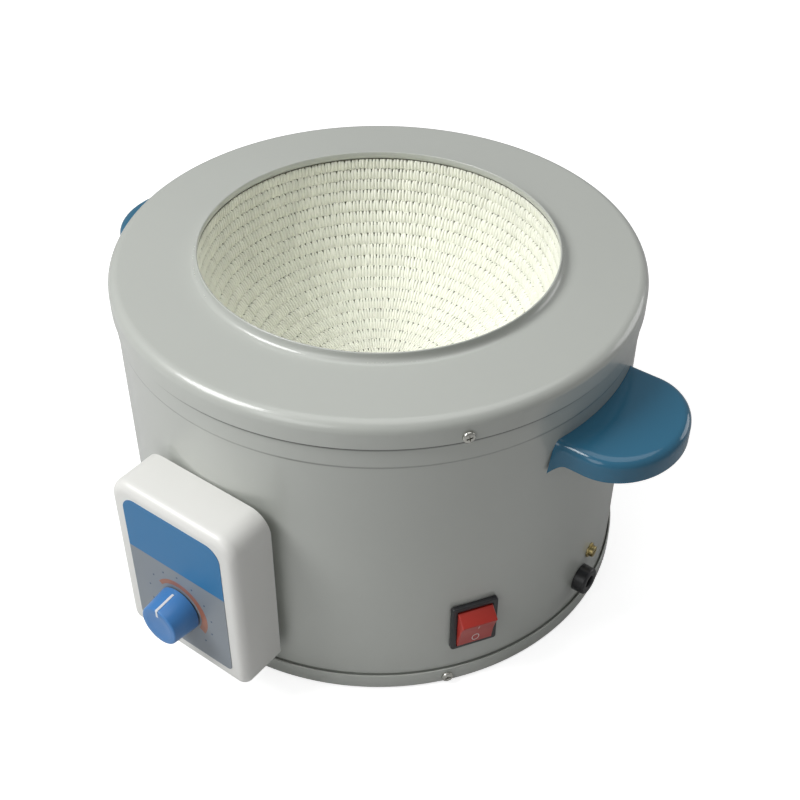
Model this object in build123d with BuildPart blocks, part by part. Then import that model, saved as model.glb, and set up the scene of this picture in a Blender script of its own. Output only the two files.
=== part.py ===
from build123d import *
from math import asin, atan2, cos, degrees, hypot, radians, sin, sqrt, tan
import os

os.makedirs("parts", exist_ok=True)

# Laboratory heating mantle for a 3000 ml round flask.
# Millimetres. +Z is up, the bench is z = 0 and the axis of the round case is the Z axis.
# The control box faces -Y and the two handles lie along +X and -X.

# ---------------------------------------------------------------- driving sizes
COLLAR_R = 93.9           # inside of the collar that the flask passes through
BRIM = 46.1               # from the collar's inside to the skirt's outside
COVER_Z = 186.0           # flat top of the cover
SHEET = 1.0               # pressed steel of the cover, wall, pan and pot
COLLAR_H = 5.3            # height of the collar over the flat top
SKIRT_H = 14.15           # depth of the cover's skirt
COVER_ROUND = 6.0         # rounding between flat top and skirt
COLLAR_BEND = 3.4         # outside bend at the foot of the collar

BOWL_STEP = 0.6           # the bowl stands this far back from the collar
BOWL_ROWS = 23            # rows of stitches from rim to pole
ROW_DEPTH = 1.0           # ridge height of one row
FABRIC = 2.4              # thickness of the knitted cloth
WOOL_T = 15.5             # glass wool between the cloth and the pot

SOFT_GAP = 0.3            # soft pieces stay this far from hard ones
SHEET_GAP = 0.25          # between two nested sheets
FIT = 0.1                 # radial room of a screw in its hole and a nut on its screw
TOUCH = 0.02              # film of air between two faces that rest together

# ---------------------------------------------------------------- derived sizes
COVER_R = COLLAR_R + BRIM                 # outside of the top cover's skirt
COLLAR_Z = COVER_Z + COLLAR_H             # top of the collar
BOWL_R = COLLAR_R + BOWL_STEP             # inside of the knitted heating bowl
HUB_R = COLLAR_R + SHEET + COLLAR_BEND    # centre of the bend at the collar's foot
HUB_Z = COVER_Z + COLLAR_BEND
SKIRT_IN_R = COVER_R - SHEET
SKIRT_Z = COVER_Z - SKIRT_H
COVER_UNDER_Z = COVER_Z - SHEET
BAND_R = SKIRT_IN_R - SHEET_GAP           # upper band of the wall, inside the skirt
JOGGLE = 0.45                             # step of the wall at its joggle
WALL_R = BAND_R - JOGGLE                  # the wall below its joggle
WALL_IN_R = WALL_R - SHEET
BAND_IN_R = BAND_R - SHEET
JOGGLE_DROP = 12.15                       # joggle under the skirt's edge
JOGGLE_Z = SKIRT_Z - JOGGLE_DROP
PAN_R = COVER_R - 0.1                     # outside of the bottom pan's flange
PAN_FLANGE_Z = 11.0
PAN_BEND = 3.0
PAN_RING_W = 27.9                         # width of the pressed foot ring
PAN_RING_R = PAN_R - PAN_RING_W           # inside of the foot ring
PAN_LIFT = 4.0                            # height of the recessed centre
WALL_BOTTOM_Z = 2.6
WALL_TOP_Z = COVER_Z - COVER_ROUND

BOWL_Z = COVER_Z + 0.2                    # height of the bowl's centre
HEM_TOP_Z = COVER_UNDER_Z - SOFT_GAP
HEM_THICK = 2.2
HEM_Z = HEM_TOP_Z - HEM_THICK
HEM_W = 22.7                              # flat hem beyond the collar's bend
HEM_R = HUB_R + HEM_W
CLOTH_OUT_R = BOWL_R + ROW_DEPTH + FABRIC
POT_IN_R = CLOTH_OUT_R + WOOL_T + 2 * SOFT_GAP
POT_R = POT_IN_R + SHEET                  # outside of the sheet metal pot
POT_TOP_Z = HEM_Z - SOFT_GAP
POT_FLANGE_R = BAND_IN_R - SHEET_GAP
POT_SKIRT_H = 15.0
POT_BOTTOM_Z = BOWL_Z - POT_R

COVER_SCREW_AZ = (53.8, 173.8, 293.8)
COVER_SCREW_UP = 3.15     # cover screws over the skirt's edge
COVER_SCREW_Z = SKIRT_Z + COVER_SCREW_UP
BASE_SCREW_AZ = (52.0, 172.0, 292.0)
BASE_SCREW_UP = 3.0       # base screws over the wall's lower edge
BASE_SCREW_Z = WALL_BOTTOM_Z + BASE_SCREW_UP
SCREW_R = 2.0
SCREW_HEAD_R = 3.2
SCREW_HEAD_H = 1.9
NUT_AF = 7.0
NUT_H = 2.6

HANDLE_AZ = (90.0, 270.0)
HANDLE_HALF = 38.0        # half the handle's width
HANDLE_NECK = 11.7        # from the wall to where the round end starts
HANDLE_REACH = 31.0       # length of the round end
HANDLE_DROP = 21.25       # top of the handle under the skirt's edge
HANDLE_H = 12.6           # depth of the tongue's edge
HANDLE_SHELL = 3.2
HANDLE_ROUND = 4.6
FOOT_HALF = 42.8          # flared foot against the wall
FOOT_UP = 2.0             # foot over the handle's top
FOOT_DOWN = 5.2           # foot under the handle's edge
FOOT_THICK = 4.2
FOOT_CORNER = 5.0
HANDLE_SCREW_X = 26.0
HANDLE_SCREW_DOWN = 7.6   # screws under the handle's top
HANDLE_BOSS = 2.5         # wall of a boss round its screw
HANDLE_BOSS_OUT = 10.0
HANDLE_STRAIGHT = WALL_R + HANDLE_NECK
HANDLE_TOP_Z = SKIRT_Z - HANDLE_DROP
HANDLE_RIM_Z = HANDLE_TOP_Z - HANDLE_H
HANDLE_SCREW_Z = HANDLE_TOP_Z - HANDLE_SCREW_DOWN
FOOT_TOP_Z = HANDLE_TOP_Z + FOOT_UP
FOOT_BOTTOM_Z = HANDLE_RIM_Z - FOOT_DOWN
HANDLE_ROOT = sqrt(WALL_R**2 - FOOT_HALF**2) - FOOT_THICK

BOX_GAP = 0.75            # between the wall and the control box's back
BOX_W = 82.0
BOX_D = 26.5
BOX_Z0 = 22.0
BOX_H = 103.4
BOX_SHELL = 2.5
PANEL_T = 5.0             # front panel of the box
BOX_TOP_CORNER = 12.0
BOX_BOTTOM_CORNER = 5.0
BOX_FRONT_ROUND = 7.0
BOX_BACK = WALL_R + BOX_GAP
BOX_FRONT = BOX_BACK + BOX_D
BOX_Z1 = BOX_Z0 + BOX_H
BACK_PLATE = 1.5
FILM_SIDE = 9.0           # margins of the label film on the panel
FILM_BELOW = 9.0
FILM_ABOVE = 7.4
FILM_W = BOX_W - 2 * FILM_SIDE
FILM_Z0 = BOX_Z0 + FILM_BELOW
FILM_Z1 = BOX_Z1 - FILM_ABOVE
FILM_CORNER = 4.5
FILM_T = 0.25
MOUNT_DOWN = 21.4         # upper mounting screw under the box's top
MOUNT_STEP = 30.0         # screw, grommet and screw stand this far apart
MOUNT_Z = BOX_Z1 - MOUNT_DOWN
GROMMET_R = 5.9
GROMMET_FLANGE_R = 8.0
GROMMET_BORE = 4.0
BOX_SCREW_R = 1.4

KNOB_UP = 36.0            # knob's axis over the box's lower edge
KNOB_Z = BOX_Z0 + KNOB_UP
KNOB_BASE_R = 12.9
KNOB_FACE_R = 11.55
KNOB_H = 15.4
KNOB_GAP = 0.6
KNOB_CAP = 3.3            # face of the knob over the end of its shaft
KNOB_RECESS_R = 7.0       # hollow over the bush's nut
KNOB_RECESS_H = 4.0
POINTER_W = 1.3
SHAFT_R = 3.0
BUSH_WALL = 0.5
BUSH_R = SHAFT_R + BUSH_WALL
BUSH_NUT = 1.5            # wall of the bush's nut

SWITCH_AZ = 57.55
SWITCH_Z = 43.3
BEZEL_W = 25.5
BEZEL_H = 31.0
BEZEL_T = 2.5
SWITCH_BODY_W = 21.8
SWITCH_BODY_H = 28.0
SWITCH_BODY_D = 22.0
ROCKER_W = 19.4
ROCKER_PLAY = 0.3         # round the rocker in its well
ROCKER_ANGLE = 33.3       # between its two states
ROCKER_RIDGE_R = 13.62    # ridges about the pivot
ROCKER_SPREAD = 98.1      # angle between the two ridges
ROCKER_END_R = 12.74      # lower edges of the end facets about the pivot
ROCKER_END_SPREAD = 169.1
ROCKER_DISH = 0.95        # hollow of the face between the ridges

EARTH_AZ = 93.8
EARTH_Z = 39.5
EARTH_R = 2.5
BUSHING_AZ = 90.0
BUSHING_Z = 26.0
BUSHING_R = 7.8
BUSHING_OUT = 7.0
BUSHING_BORE = 3.6
BUSHING_NECK = 6.0


def wall_plane(azimuth, height, radius):
    """Plane standing on the wall: local x runs round it, y is up and z points outwards."""
    a = radians(azimuth)
    return Plane(
        origin=(radius * sin(a), -radius * cos(a), height),
        x_dir=(cos(a), sin(a), 0),
        z_dir=(sin(a), -cos(a), 0),
    )


def flats(centre, radius, start, end, count):
    """Points of a rounding drawn with short flats, which keeps a large ring light. Angles in degrees."""
    step = (end - start) / count
    turns = [radians(start + step * i) for i in range(count + 1)]
    return [(centre[0] + radius * cos(t), centre[1] + radius * sin(t)) for t in turns]


def sphere_r(radius, height):
    """Radius of a circle cut from a sphere about the bowl's centre."""
    return sqrt(radius**2 - (BOWL_Z - height) ** 2)


# ---------------------------------------------------------------- top cover
# Pressed from one sheet: skirt, rounded edge, flat top and the drawn collar.
LIP = (COLLAR_R + SHEET / 2, COLLAR_Z - SHEET / 2)
EDGE = (COVER_R - COVER_ROUND, COVER_Z - COVER_ROUND)
with BuildPart() as top_cover:
    with BuildSketch(Plane.XZ):
        with BuildLine():
            Polyline(
                (COVER_R, SKIRT_Z),
                *flats(EDGE, COVER_ROUND, 0, 90, 5),
                *flats((HUB_R, HUB_Z), COLLAR_BEND, 270, 180, 3),
                *flats(LIP, SHEET / 2, 0, 180, 3),
                *flats((HUB_R, HUB_Z), COLLAR_BEND + SHEET, 180, 270, 3),
                *flats(EDGE, COVER_ROUND - SHEET, 90, 0, 3),
                (SKIRT_IN_R, SKIRT_Z),
                close=True,
            )
        make_face()
    revolve(axis=Axis.Z)
    for azimuth in COVER_SCREW_AZ:
        with BuildSketch(wall_plane(azimuth, COVER_SCREW_Z, POT_R)):
            Circle(SCREW_R + FIT)
        extrude(amount=COVER_R - POT_R + 5, mode=Mode.SUBTRACT)

# ---------------------------------------------------------------- side wall
# Rolled sheet with a joggle that sets its upper band out under the skirt.
with BuildPart() as side_wall:
    with BuildSketch(Plane.XZ):
        with BuildLine():
            Polyline(
                (WALL_R, WALL_BOTTOM_Z),
                (WALL_R, JOGGLE_Z - 0.6),
                (BAND_R, JOGGLE_Z + 0.6),
                (BAND_R, WALL_TOP_Z),
                (BAND_IN_R, WALL_TOP_Z),
                (BAND_IN_R, JOGGLE_Z + 0.6),
                (WALL_IN_R, JOGGLE_Z - 0.6),
                (WALL_IN_R, WALL_BOTTOM_Z),
                close=True,
            )
        make_face()
    revolve(axis=Axis.Z)
    for azimuth in COVER_SCREW_AZ:
        with BuildSketch(wall_plane(azimuth, COVER_SCREW_Z, POT_R)):
            Circle(SCREW_R + FIT)
        extrude(amount=COVER_R - POT_R, mode=Mode.SUBTRACT)
    for azimuth in BASE_SCREW_AZ:
        with BuildSketch(wall_plane(azimuth, BASE_SCREW_Z, POT_R)):
            Circle(SCREW_R + FIT)
        extrude(amount=COVER_R - POT_R, mode=Mode.SUBTRACT)
    for azimuth in HANDLE_AZ:
        with BuildSketch(wall_plane(azimuth, HANDLE_SCREW_Z, POT_R)):
            with Locations((-HANDLE_SCREW_X, 0), (HANDLE_SCREW_X, 0)):
                Circle(SCREW_R + FIT)
        extrude(amount=COVER_R - POT_R, mode=Mode.SUBTRACT)
    with BuildSketch(wall_plane(SWITCH_AZ, SWITCH_Z, POT_R)):
        Rectangle(SWITCH_BODY_W + 2 * FIT, SWITCH_BODY_H + 2 * FIT)
    extrude(amount=COVER_R - POT_R, mode=Mode.SUBTRACT)
    with BuildSketch(wall_plane(EARTH_AZ, EARTH_Z, POT_R)):
        Circle(EARTH_R + FIT)
    extrude(amount=COVER_R - POT_R, mode=Mode.SUBTRACT)
    with BuildSketch(wall_plane(BUSHING_AZ, BUSHING_Z, POT_R)):
        Circle(BUSHING_NECK + FIT)
    extrude(amount=COVER_R - POT_R, mode=Mode.SUBTRACT)
    # two screws and the grommet of the control box
    with BuildSketch(wall_plane(0, MOUNT_Z, POT_R)):
        Circle(SCREW_R + FIT)
        with Locations((0, -MOUNT_STEP)):
            Circle(GROMMET_R + 2 * FIT)
        with Locations((0, -2 * MOUNT_STEP)):
            Circle(SCREW_R + FIT)
    extrude(amount=COVER_R - POT_R, mode=Mode.SUBTRACT)

# ---------------------------------------------------------------- bottom pan
# The pressed ring round its edge is the foot that stands on the bench.
VENT_STEP = 26.0                          # from one row of vents to the next
VENT_EDGE = 24.0                          # from the foot ring to the outer row
VENT_ROWS = ((PAN_RING_R - VENT_EDGE, 10), (PAN_RING_R - VENT_EDGE - VENT_STEP, 6))
VENT_L = 24.0
VENT_W = 5.0
PAN_SLOPE = 4.0                           # foot of the step up to the recessed centre
BOLT_X = 16.0                             # bolts of the terminal block
BOLT_R = 1.5
with BuildPart() as bottom_pan:
    with BuildSketch(Plane.XZ):
        with BuildLine():
            Polyline(
                (0, PAN_LIFT),
                (PAN_RING_R - PAN_SLOPE, PAN_LIFT),
                (PAN_RING_R, 0),
                *flats((PAN_R - PAN_BEND, PAN_BEND), PAN_BEND, 270, 360, 3),
                *flats((PAN_R - SHEET / 2, PAN_FLANGE_Z - SHEET / 2), SHEET / 2, 0, 180, 2),
                *flats((PAN_R - PAN_BEND, PAN_BEND), PAN_BEND - SHEET, 360, 270, 2),
                (PAN_RING_R + 0.4 * SHEET, SHEET),
                (PAN_RING_R - PAN_SLOPE + 0.4 * SHEET, PAN_LIFT + SHEET),
                (0, PAN_LIFT + SHEET),
                close=True,
            )
        make_face()
    revolve(axis=Axis.Z)
    with BuildSketch():
        for ring_r, count in VENT_ROWS:
            with PolarLocations(ring_r, count):
                SlotOverall(VENT_L, VENT_W, rotation=90)
        with Locations((-BOLT_X, 0), (BOLT_X, 0)):
            Circle(BOLT_R + FIT)
    extrude(amount=PAN_LIFT + 2 * SHEET, mode=Mode.SUBTRACT)
    for azimuth in BASE_SCREW_AZ:
        with BuildSketch(wall_plane(azimuth, BASE_SCREW_Z, WALL_IN_R - SHEET)):
            Circle(SCREW_R + FIT)
        extrude(amount=COVER_R - WALL_IN_R + 2 * SHEET, mode=Mode.SUBTRACT)

# ---------------------------------------------------------------- case screws and nuts


def pan_screw(seat, length):
    """Pan head cross screw: seat is the plane under its head, z pointing outwards."""
    with BuildPart() as screw:
        with BuildSketch(seat):
            Circle(SCREW_HEAD_R)
        extrude(amount=SCREW_HEAD_H)
        rims = screw.edges().filter_by(GeomType.CIRCLE)
        crown = rims.sort_by(lambda e: (e.arc_center - seat.origin).dot(seat.z_dir))[-1]
        chamfer(crown, SCREW_HEAD_H * 0.45)
        with BuildSketch(seat.offset(SCREW_HEAD_H)):
            Rectangle(SCREW_HEAD_R * 1.15, 0.8)
            Rectangle(0.8, SCREW_HEAD_R * 1.15)
        extrude(amount=-1.2, mode=Mode.SUBTRACT)
        with BuildSketch(seat):
            Circle(SCREW_R)
        extrude(amount=-length)
    return screw.part


def hex_nut(seat, hole_r, across_flats, height):
    """Nut lying under the seat plane, towards the axis."""
    with BuildPart() as nut:
        with BuildSketch(seat):
            RegularPolygon(across_flats / 2, 6, major_radius=False)
            Circle(hole_r + FIT / 2, mode=Mode.SUBTRACT)
        extrude(amount=-height)
    return nut.part


def screw_set(azimuths, height, radius, length):
    """Separate screws, each built on the wall plane of its azimuth."""
    return [pan_screw(wall_plane(azimuth, height, radius), length) for azimuth in azimuths]


def nut_set(azimuths, height, radius):
    """Separate nuts, flat against the innermost sheet."""
    return [hex_nut(wall_plane(azimuth, height, radius), SCREW_R, NUT_AF, NUT_H) for azimuth in azimuths]


# a flat face touches a curved sheet along its middle, or at its edges from the inside
HEAD_SEAT = COVER_R + TOUCH
NUT_DROP = BAND_IN_R - sqrt(BAND_IN_R**2 - (NUT_AF * 0.58) ** 2)
COVER_STACK = HEAD_SEAT - POT_FLANGE_R + SHEET + NUT_DROP + NUT_H + 1.5
BASE_STACK = HEAD_SEAT - WALL_IN_R + NUT_DROP + NUT_H + 1.5
cover_screw_parts = screw_set(COVER_SCREW_AZ, COVER_SCREW_Z, HEAD_SEAT, COVER_STACK)
cover_nut_parts = nut_set(COVER_SCREW_AZ, COVER_SCREW_Z, POT_FLANGE_R - SHEET - NUT_DROP - TOUCH)
base_screw_parts = screw_set(BASE_SCREW_AZ, BASE_SCREW_Z, PAN_R + TOUCH, BASE_STACK)
base_nut_parts = nut_set(BASE_SCREW_AZ, BASE_SCREW_Z, WALL_IN_R - NUT_DROP - TOUCH)

# ---------------------------------------------------------------- heating bowl
# Knitted glass yarn that holds the heating wire: rows of stitches run round the bowl as
# ridges, and the hem turns out flat under the cover.
HEM_BEND = COLLAR_BEND + SHEET + SOFT_GAP
row_step = 90.0 / BOWL_ROWS
ridge = []
for row in range(BOWL_ROWS - 1, 0, -1):
    valley = radians(row_step * (row + 0.5))
    crest = radians(row_step * row)
    ridge.append(((BOWL_R + ROW_DEPTH) * cos(valley), BOWL_Z - (BOWL_R + ROW_DEPTH) * sin(valley)))
    ridge.append((BOWL_R * cos(crest), BOWL_Z - BOWL_R * sin(crest)))
HEM_TURN = 35.0           # how far round the bend the visible cloth starts
CLOTH_BAND_COUNT = 6           # flat bands of the cloth's hidden back
cloth_low = degrees(asin((BOWL_Z - HEM_Z) / CLOTH_OUT_R))
with BuildPart() as heating_bowl:
    with BuildSketch(Plane.XZ):
        with BuildLine():
            Polyline(
                (0, BOWL_Z - BOWL_R),
                *ridge,
                *flats((HUB_R, HUB_Z), HEM_BEND, 180 + HEM_TURN, 270, 3),
                (HEM_R, HEM_TOP_Z),
                (HEM_R, HEM_Z),
                *flats((0, BOWL_Z), CLOTH_OUT_R, -cloth_low, -90, CLOTH_BAND_COUNT),
                close=True,
            )
        make_face()
    revolve(axis=Axis.Z)

# ---------------------------------------------------------------- insulation and pot
# Both are spun or cut in flat bands: nothing of them shows on the closed product.
# The wool clears the flat bands of the pot and of the cloth by the soft gap.
WOOL_BAND_COUNT = 7
POT_BAND_COUNT = 8
BAND_SAG = POT_R * (1 - cos(radians(45 / WOOL_BAND_COUNT)))
WOOL_OUT_R = POT_IN_R - SOFT_GAP - BAND_SAG
WOOL_IN_R = CLOTH_OUT_R + SOFT_GAP + BAND_SAG
WOOL_TOP_Z = HEM_Z - SOFT_GAP
POT_FLANGE_Z = POT_TOP_Z - SHEET
LEAD_R = 0.8
SLEEVE_R = 1.8
SLEEVE_L = 10.0
LEAD_X = 6.0
wool_low_out = degrees(asin((BOWL_Z - WOOL_TOP_Z) / WOOL_OUT_R))
wool_low_in = degrees(asin((BOWL_Z - WOOL_TOP_Z) / WOOL_IN_R))
with BuildPart() as insulation:
    with BuildSketch(Plane.XZ):
        with BuildLine():
            Polyline(
                *flats((0, BOWL_Z), WOOL_OUT_R, -90, -wool_low_out, WOOL_BAND_COUNT),
                *flats((0, BOWL_Z), WOOL_IN_R, -wool_low_in, -90, WOOL_BAND_COUNT),
                close=True,
            )
        make_face()
    revolve(axis=Axis.Z)
    with BuildSketch(Plane.XY.offset(POT_BOTTOM_Z)):
        with Locations((-LEAD_X, 0), (LEAD_X, 0)):
            Circle(SLEEVE_R + SOFT_GAP)
    extrude(amount=POT_R - BOWL_R, mode=Mode.SUBTRACT)

with BuildPart() as inner_pot:
    with BuildSketch(Plane.XZ):
        with BuildLine():
            Polyline(
                *flats((0, BOWL_Z), POT_R, -90, -degrees(asin((BOWL_Z - POT_FLANGE_Z) / POT_R)), POT_BAND_COUNT),
                (POT_FLANGE_R - SHEET, POT_FLANGE_Z),
                (POT_FLANGE_R - SHEET, POT_FLANGE_Z - POT_SKIRT_H),
                (POT_FLANGE_R, POT_FLANGE_Z - POT_SKIRT_H),
                (POT_FLANGE_R, POT_TOP_Z),
                *flats((0, BOWL_Z), POT_IN_R, -degrees(asin((BOWL_Z - POT_TOP_Z) / POT_IN_R)), -90, POT_BAND_COUNT),
                close=True,
            )
        make_face()
    revolve(axis=Axis.Z)
    with BuildSketch(Plane.XY.offset(POT_BOTTOM_Z - 1)):
        with Locations((-LEAD_X, 0), (LEAD_X, 0)):
            Circle(SLEEVE_R + SOFT_GAP)
    extrude(amount=WOOL_T / 2, mode=Mode.SUBTRACT)
    for azimuth in COVER_SCREW_AZ:
        with BuildSketch(wall_plane(azimuth, COVER_SCREW_Z, POT_FLANGE_R - 3 * SHEET)):
            Circle(SCREW_R + FIT)
        extrude(amount=4 * SHEET, mode=Mode.SUBTRACT)

# ---------------------------------------------------------------- leads and terminal block
BLOCK_H = 17.0
BLOCK_L = 44.0
BLOCK_W = 20.0
BLOCK_CORNER = 2.0
BLOCK_STEP_W = 12.0       # the steps at both ends that the bolts sit on
BLOCK_STEP_H = 10.0
LEAD_POCKET = 9.0
BOLT_HEAD_R = 3.0
BOLT_HEAD_H = 2.2
BOLT_NUT_AF = 5.5
BLOCK_TOP = PAN_LIFT + SHEET + BLOCK_H
BLOCK_Z = PAN_LIFT + SHEET + TOUCH
BLOCK_STEP_Z = BLOCK_TOP - BLOCK_STEP_H
with BuildPart() as terminal_block:
    with BuildSketch(Plane.XY.offset(BLOCK_Z)):
        RectangleRounded(BLOCK_L, BLOCK_W, BLOCK_CORNER)
    extrude(amount=BLOCK_TOP - BLOCK_Z)
    with BuildSketch(Plane.XZ.offset(BLOCK_W / 2)):
        for side in (-1, 1):
            with Locations((side * (BLOCK_L - BLOCK_STEP_W) / 2, BLOCK_TOP - BLOCK_STEP_H / 2)):
                Rectangle(BLOCK_STEP_W, BLOCK_STEP_H)
    extrude(amount=-BLOCK_W, mode=Mode.SUBTRACT)
    with BuildSketch(Plane.XY.offset(BLOCK_Z)):
        with Locations((-BOLT_X, 0), (BOLT_X, 0)):
            Circle(BOLT_R + FIT)
    extrude(amount=BLOCK_H, mode=Mode.SUBTRACT)
    with BuildSketch(Plane.XY.offset(BLOCK_TOP - LEAD_POCKET)):
        with Locations((-LEAD_X, 0), (LEAD_X, 0)):
            Circle(SLEEVE_R + 0.8)
    extrude(amount=LEAD_POCKET + 1, mode=Mode.SUBTRACT)

# bare wire from each terminal up to the cloth, in a stack of ceramic sleeves
LEAD_Z0 = BLOCK_TOP - LEAD_POCKET + TOUCH
LEAD_Z1 = BOWL_Z - CLOTH_OUT_R - SOFT_GAP
SLEEVE_COUNT = int((LEAD_Z1 - LEAD_Z0 - 2) / SLEEVE_L)
lead_parts = []
sleeve_parts = []
for lead_x in (-LEAD_X, LEAD_X):
    with BuildPart() as element_lead:
        with BuildSketch(Plane.XY.offset(LEAD_Z0)):
            with Locations((lead_x, 0)):
                Circle(LEAD_R)
        extrude(amount=LEAD_Z1 - LEAD_Z0)
    lead_parts.append(element_lead.part)
    for place in range(SLEEVE_COUNT):
        with BuildPart() as sleeve:
            with BuildSketch(Plane.XY.offset(LEAD_Z0 + 1 + place * SLEEVE_L)):
                with Locations((lead_x, 0)):
                    Circle(SLEEVE_R)
                    Circle(LEAD_R + 0.06, mode=Mode.SUBTRACT)
            extrude(amount=SLEEVE_L - 0.1)
        sleeve_parts.append(sleeve.part)

# two bolts hold the block to the pan, each with its nut under the pan
block_screw_parts = []
block_nut_parts = []
for bolt_x in (-BOLT_X, BOLT_X):
    head_seat = Plane(origin=(bolt_x, 0, BLOCK_STEP_Z + TOUCH))
    with BuildPart() as block_screw:
        with BuildSketch(head_seat):
            Circle(BOLT_HEAD_R)
        extrude(amount=BOLT_HEAD_H)
        with BuildSketch(head_seat.offset(BOLT_HEAD_H)):
            Rectangle(3 * BOLT_HEAD_R, 0.8)
        extrude(amount=-BOLT_HEAD_H / 2, mode=Mode.SUBTRACT)
        with BuildSketch(head_seat):
            Circle(BOLT_R)
        extrude(amount=PAN_LIFT - BOLT_HEAD_H - 1.2 - BLOCK_STEP_Z)
    block_screw_parts.append(block_screw.part)
    with BuildPart() as block_nut:
        with BuildSketch(Plane(origin=(bolt_x, 0, PAN_LIFT - TOUCH))):
            RegularPolygon(BOLT_NUT_AF / 2, 6, major_radius=False)
            Circle(BOLT_R + FIT / 2, mode=Mode.SUBTRACT)
        extrude(amount=-BOLT_HEAD_H)
    block_nut_parts.append(block_nut.part)

# ---------------------------------------------------------------- handles
# Moulded shelf: a rounded tongue, hollow from below, with a flared foot against the wall.


def tongue_outline(inset):
    """Plan view of the tongue from its root to its round end, drawn in by an inset."""
    half = HANDLE_HALF - inset
    with BuildSketch() as outline:
        with BuildLine():
            EllipticalCenterArc((HANDLE_STRAIGHT, 0), HANDLE_REACH - inset, half, -90, arc_size=180)
            Polyline(
                (HANDLE_STRAIGHT, half),
                (HANDLE_ROOT, half),
                (HANDLE_ROOT, -half),
                (HANDLE_STRAIGHT, -half),
            )
        make_face()
    return outline.sketch


def build_handle(azimuth):
    """One handle standing on the wall at an azimuth."""
    a = radians(azimuth)
    plan = Plane(origin=(0, 0, HANDLE_RIM_Z), x_dir=(sin(a), -cos(a), 0), z_dir=(0, 0, 1))
    foot_h = FOOT_TOP_Z - FOOT_BOTTOM_Z
    with BuildPart() as handle:
        with BuildSketch(plan):
            add(tongue_outline(0))
        extrude(amount=HANDLE_H)
        top_edges = handle.faces().sort_by(Axis.Z)[-1].edges()
        root_edge = top_edges.sort_by(lambda e: hypot(e.center().X, e.center().Y))[0]
        fillet([edge for edge in top_edges if edge is not root_edge], HANDLE_ROUND)
        with BuildSketch(plan):
            add(tongue_outline(HANDLE_SHELL))
        extrude(amount=HANDLE_H - HANDLE_SHELL, mode=Mode.SUBTRACT)
        with BuildSketch(wall_plane(azimuth, (FOOT_BOTTOM_Z + FOOT_TOP_Z) / 2, HANDLE_ROOT)):
            RectangleRounded(2 * FOOT_HALF, foot_h, FOOT_CORNER)
        extrude(amount=WALL_R + FOOT_THICK - HANDLE_ROOT)
        for side in (-1, 1):
            with BuildSketch(wall_plane(azimuth, HANDLE_SCREW_Z, HANDLE_ROOT)):
                with Locations((side * HANDLE_SCREW_X, 0)):
                    Circle(SCREW_R + HANDLE_BOSS)
            extrude(amount=WALL_R + HANDLE_BOSS_OUT - HANDLE_ROOT)
        with BuildSketch(Plane.XY.offset(FOOT_BOTTOM_Z - FOOT_DOWN)):
            Circle(WALL_R + TOUCH)
        extrude(amount=foot_h + 2 * FOOT_DOWN, mode=Mode.SUBTRACT)
        with BuildSketch(wall_plane(azimuth, HANDLE_SCREW_Z, HANDLE_ROOT)):
            with Locations((-HANDLE_SCREW_X, 0), (HANDLE_SCREW_X, 0)):
                Circle(SCREW_R + FIT / 2)
        extrude(amount=WALL_R + HANDLE_BOSS_OUT - HANDLE_BOSS - HANDLE_ROOT, mode=Mode.SUBTRACT)
    return handle


handle_right = build_handle(HANDLE_AZ[0])
handle_left = build_handle(HANDLE_AZ[1])

# the handle screws go outwards from inside the wall
handle_screw_parts = []
for azimuth in HANDLE_AZ:
    for side in (-1, 1):
        seat = wall_plane(azimuth, HANDLE_SCREW_Z, sqrt(WALL_IN_R**2 - (HANDLE_SCREW_X + 3.4) ** 2) - TOUCH)
        with BuildPart() as handle_screw:
            with BuildSketch(seat):
                with Locations((side * HANDLE_SCREW_X, 0)):
                    Circle(3.3)
            extrude(amount=-2.2)
            with BuildSketch(seat):
                with Locations((side * HANDLE_SCREW_X, 0)):
                    Circle(SCREW_R)
            extrude(amount=10.5)
        handle_screw_parts.append(handle_screw.part)

# ---------------------------------------------------------------- control box
BOX_MID_Z = (BOX_Z0 + BOX_Z1) / 2
POST_R = 3.6
POST_IN = 1.0             # how far a post grows into the box's wall
POST_LOW = 9.0
POST_HIGH = 11.5
POST_X = BOX_W / 2 - BOX_SHELL - POST_R + POST_IN
POST_Z = (BOX_Z0 + POST_LOW, BOX_Z1 - POST_HIGH)
CARD_DROP = 13.0          # middle of the card under the upper mounting screw
CARD_Z = MOUNT_Z - CARD_DROP


def box_outline(inset):
    """Front view of the box about its middle, drawn in by an inset."""
    half = BOX_W / 2 - inset
    low = -BOX_H / 2 + inset
    high = BOX_H / 2 - inset
    low_round = max(BOX_BOTTOM_CORNER - inset, 1.5)
    high_round = BOX_TOP_CORNER - inset
    with BuildSketch() as outline:
        with BuildLine():
            FilletPolyline(
                (half, low),
                (half, high),
                (-half, high),
                (-half, low),
                radius=(low_round, high_round, high_round, low_round),
                close=True,
            )
        make_face()
    return outline.sketch


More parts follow.
